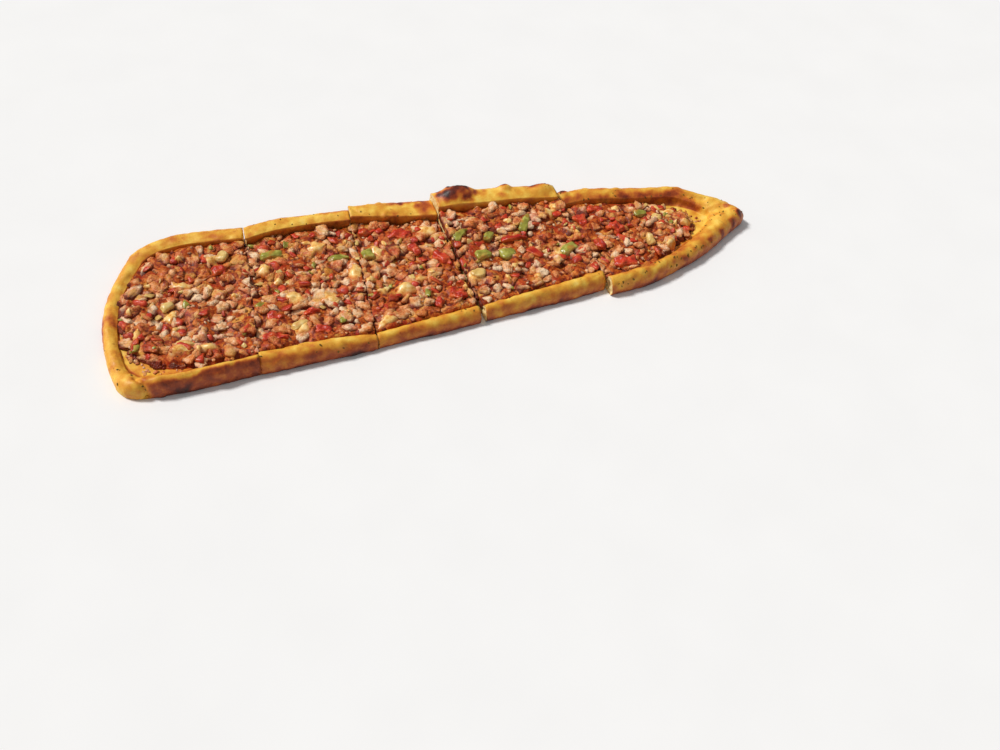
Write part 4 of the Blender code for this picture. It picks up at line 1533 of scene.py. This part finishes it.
def herb_flecks(name, material):
    parts = []
    for owner, count in FLECKS.items():
        places, outward = RIM_PLACES[owner]
        for pick in chance.integers(len(places), size=count):
            local, faces = crumbs[chance.integers(len(crumbs))]
            size = chance.uniform(*FLECK_SIZE)
            points = local * [1.5, 0.9, 0.5] * size @ turned(chance.uniform(0, 6.3), 0, 0).T
            lean = Vector((0, 0, 1)).rotation_difference(Vector(outward[pick])).to_matrix()
            points = points @ np.array(lean).T + places[pick] + outward[pick] * size * 0.1
            parts.append((points, faces, {"shade": np.zeros(len(points))}))
    points, faces, values = joined(parts)
    made = add_object(name, mesh_from(name, points, faces, values), material)
    print(made.name, len(parts), "flecks")
    return made


flecks = herb_flecks("herb_flecks", fleck_finish())

# %% [markdown]
# ## Light, floor and camera
#
# Food is lit like a window at its back: a broad, soft light from behind and to the left draws
# bright rims on the crust and leaves the front walls warm and dark, and a pale floor and sky
# fill the shadows. The camera looks down at about fifty degrees with a slight roll.

# %% Stage
FLOOR_SIZE = 14.0
LIGHT_FROM = Vector((-0.7, 0.45, 1.0))
SKY_STRENGTH = 0.31
SUN_STRENGTH = 3.02
SUN_SIZE = 12  # in degrees, which softens the shadows
CAMERA_PLACE = Vector((-219.65, -552.85, 555.49)) * MM
CAMERA_AIM = Vector((-1.6, -122.9, 0)) * MM
CAMERA_ROLL = 8.28
LENS = 35.47


def pale_floor():
    """A pale, matt floor that belongs to the stage and not to the pide."""
    mesh = bpy.data.meshes.new("floor")
    half = FLOOR_SIZE / 2
    corners = [(-half, -half, 0), (half, -half, 0), (half, half, 0), (-half, half, 0)]
    mesh.from_pydata(corners, [], [(0, 1, 2, 3)])
    made = bpy.data.objects.new("floor", mesh)
    look = Finish("pale_floor", Roughness=0.9, Specular_IOR_Level=0.1)
    tone = look.ramp(look.noise(60, 2, 0.5), (0.3, (240, 240, 240)), (0.7, (242, 242, 242)))
    made.data.materials.append(look.finish(tone))
    bpy.context.scene.collection.objects.link(made)
    made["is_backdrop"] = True
    return made


def studio():
    """A white sky and one broad light like a window."""
    world = bpy.data.worlds.new("soft_sky")
    bpy.context.scene.world = world
    world.use_nodes = True
    sky = world.node_tree.nodes["Background"]
    sky.inputs["Color"].default_value = (1.0, 1.0, 1.0, 1)
    sky.inputs["Strength"].default_value = SKY_STRENGTH
    sun = bpy.data.lights.new("window", "SUN")
    sun.energy = SUN_STRENGTH
    sun.angle = math.radians(SUN_SIZE)
    sun.color = (1.0, 0.985, 0.965)
    lamp = bpy.data.objects.new("window", sun)
    lamp.rotation_euler = LIGHT_FROM.to_track_quat("Z", "Y").to_euler()
    bpy.context.scene.collection.objects.link(lamp)


def camera():
    """The camera, aimed at a point and rolled a little."""
    lens = bpy.data.cameras.new("camera")
    lens.lens = LENS
    lens.sensor_width = 36
    made = bpy.data.objects.new("camera", lens)
    made.location = CAMERA_PLACE
    aim = (CAMERA_AIM - CAMERA_PLACE).to_track_quat("-Z", "Y")
    made.rotation_euler = (aim.to_matrix() @ Euler((0, 0, math.radians(CAMERA_ROLL))).to_matrix()).to_euler()
    bpy.context.scene.collection.objects.link(made)
    bpy.context.scene.camera = made


bpy.context.scene.view_settings.view_transform = "Standard"
pale_floor()
studio()
camera()
print("camera at", [round(value, 3) for value in CAMERA_PLACE])

# %% [markdown]
# ## The sizes
#
# The dressed pide has to stay the size of its solids, so both boxes are printed.

# %% Measure and finish
dressed_box = [list(corner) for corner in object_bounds()]
rounded = [[round(1000 * value, 1) for value in corner] for corner in dressed_box]
print("box of the dressed pide in mm:", rounded)
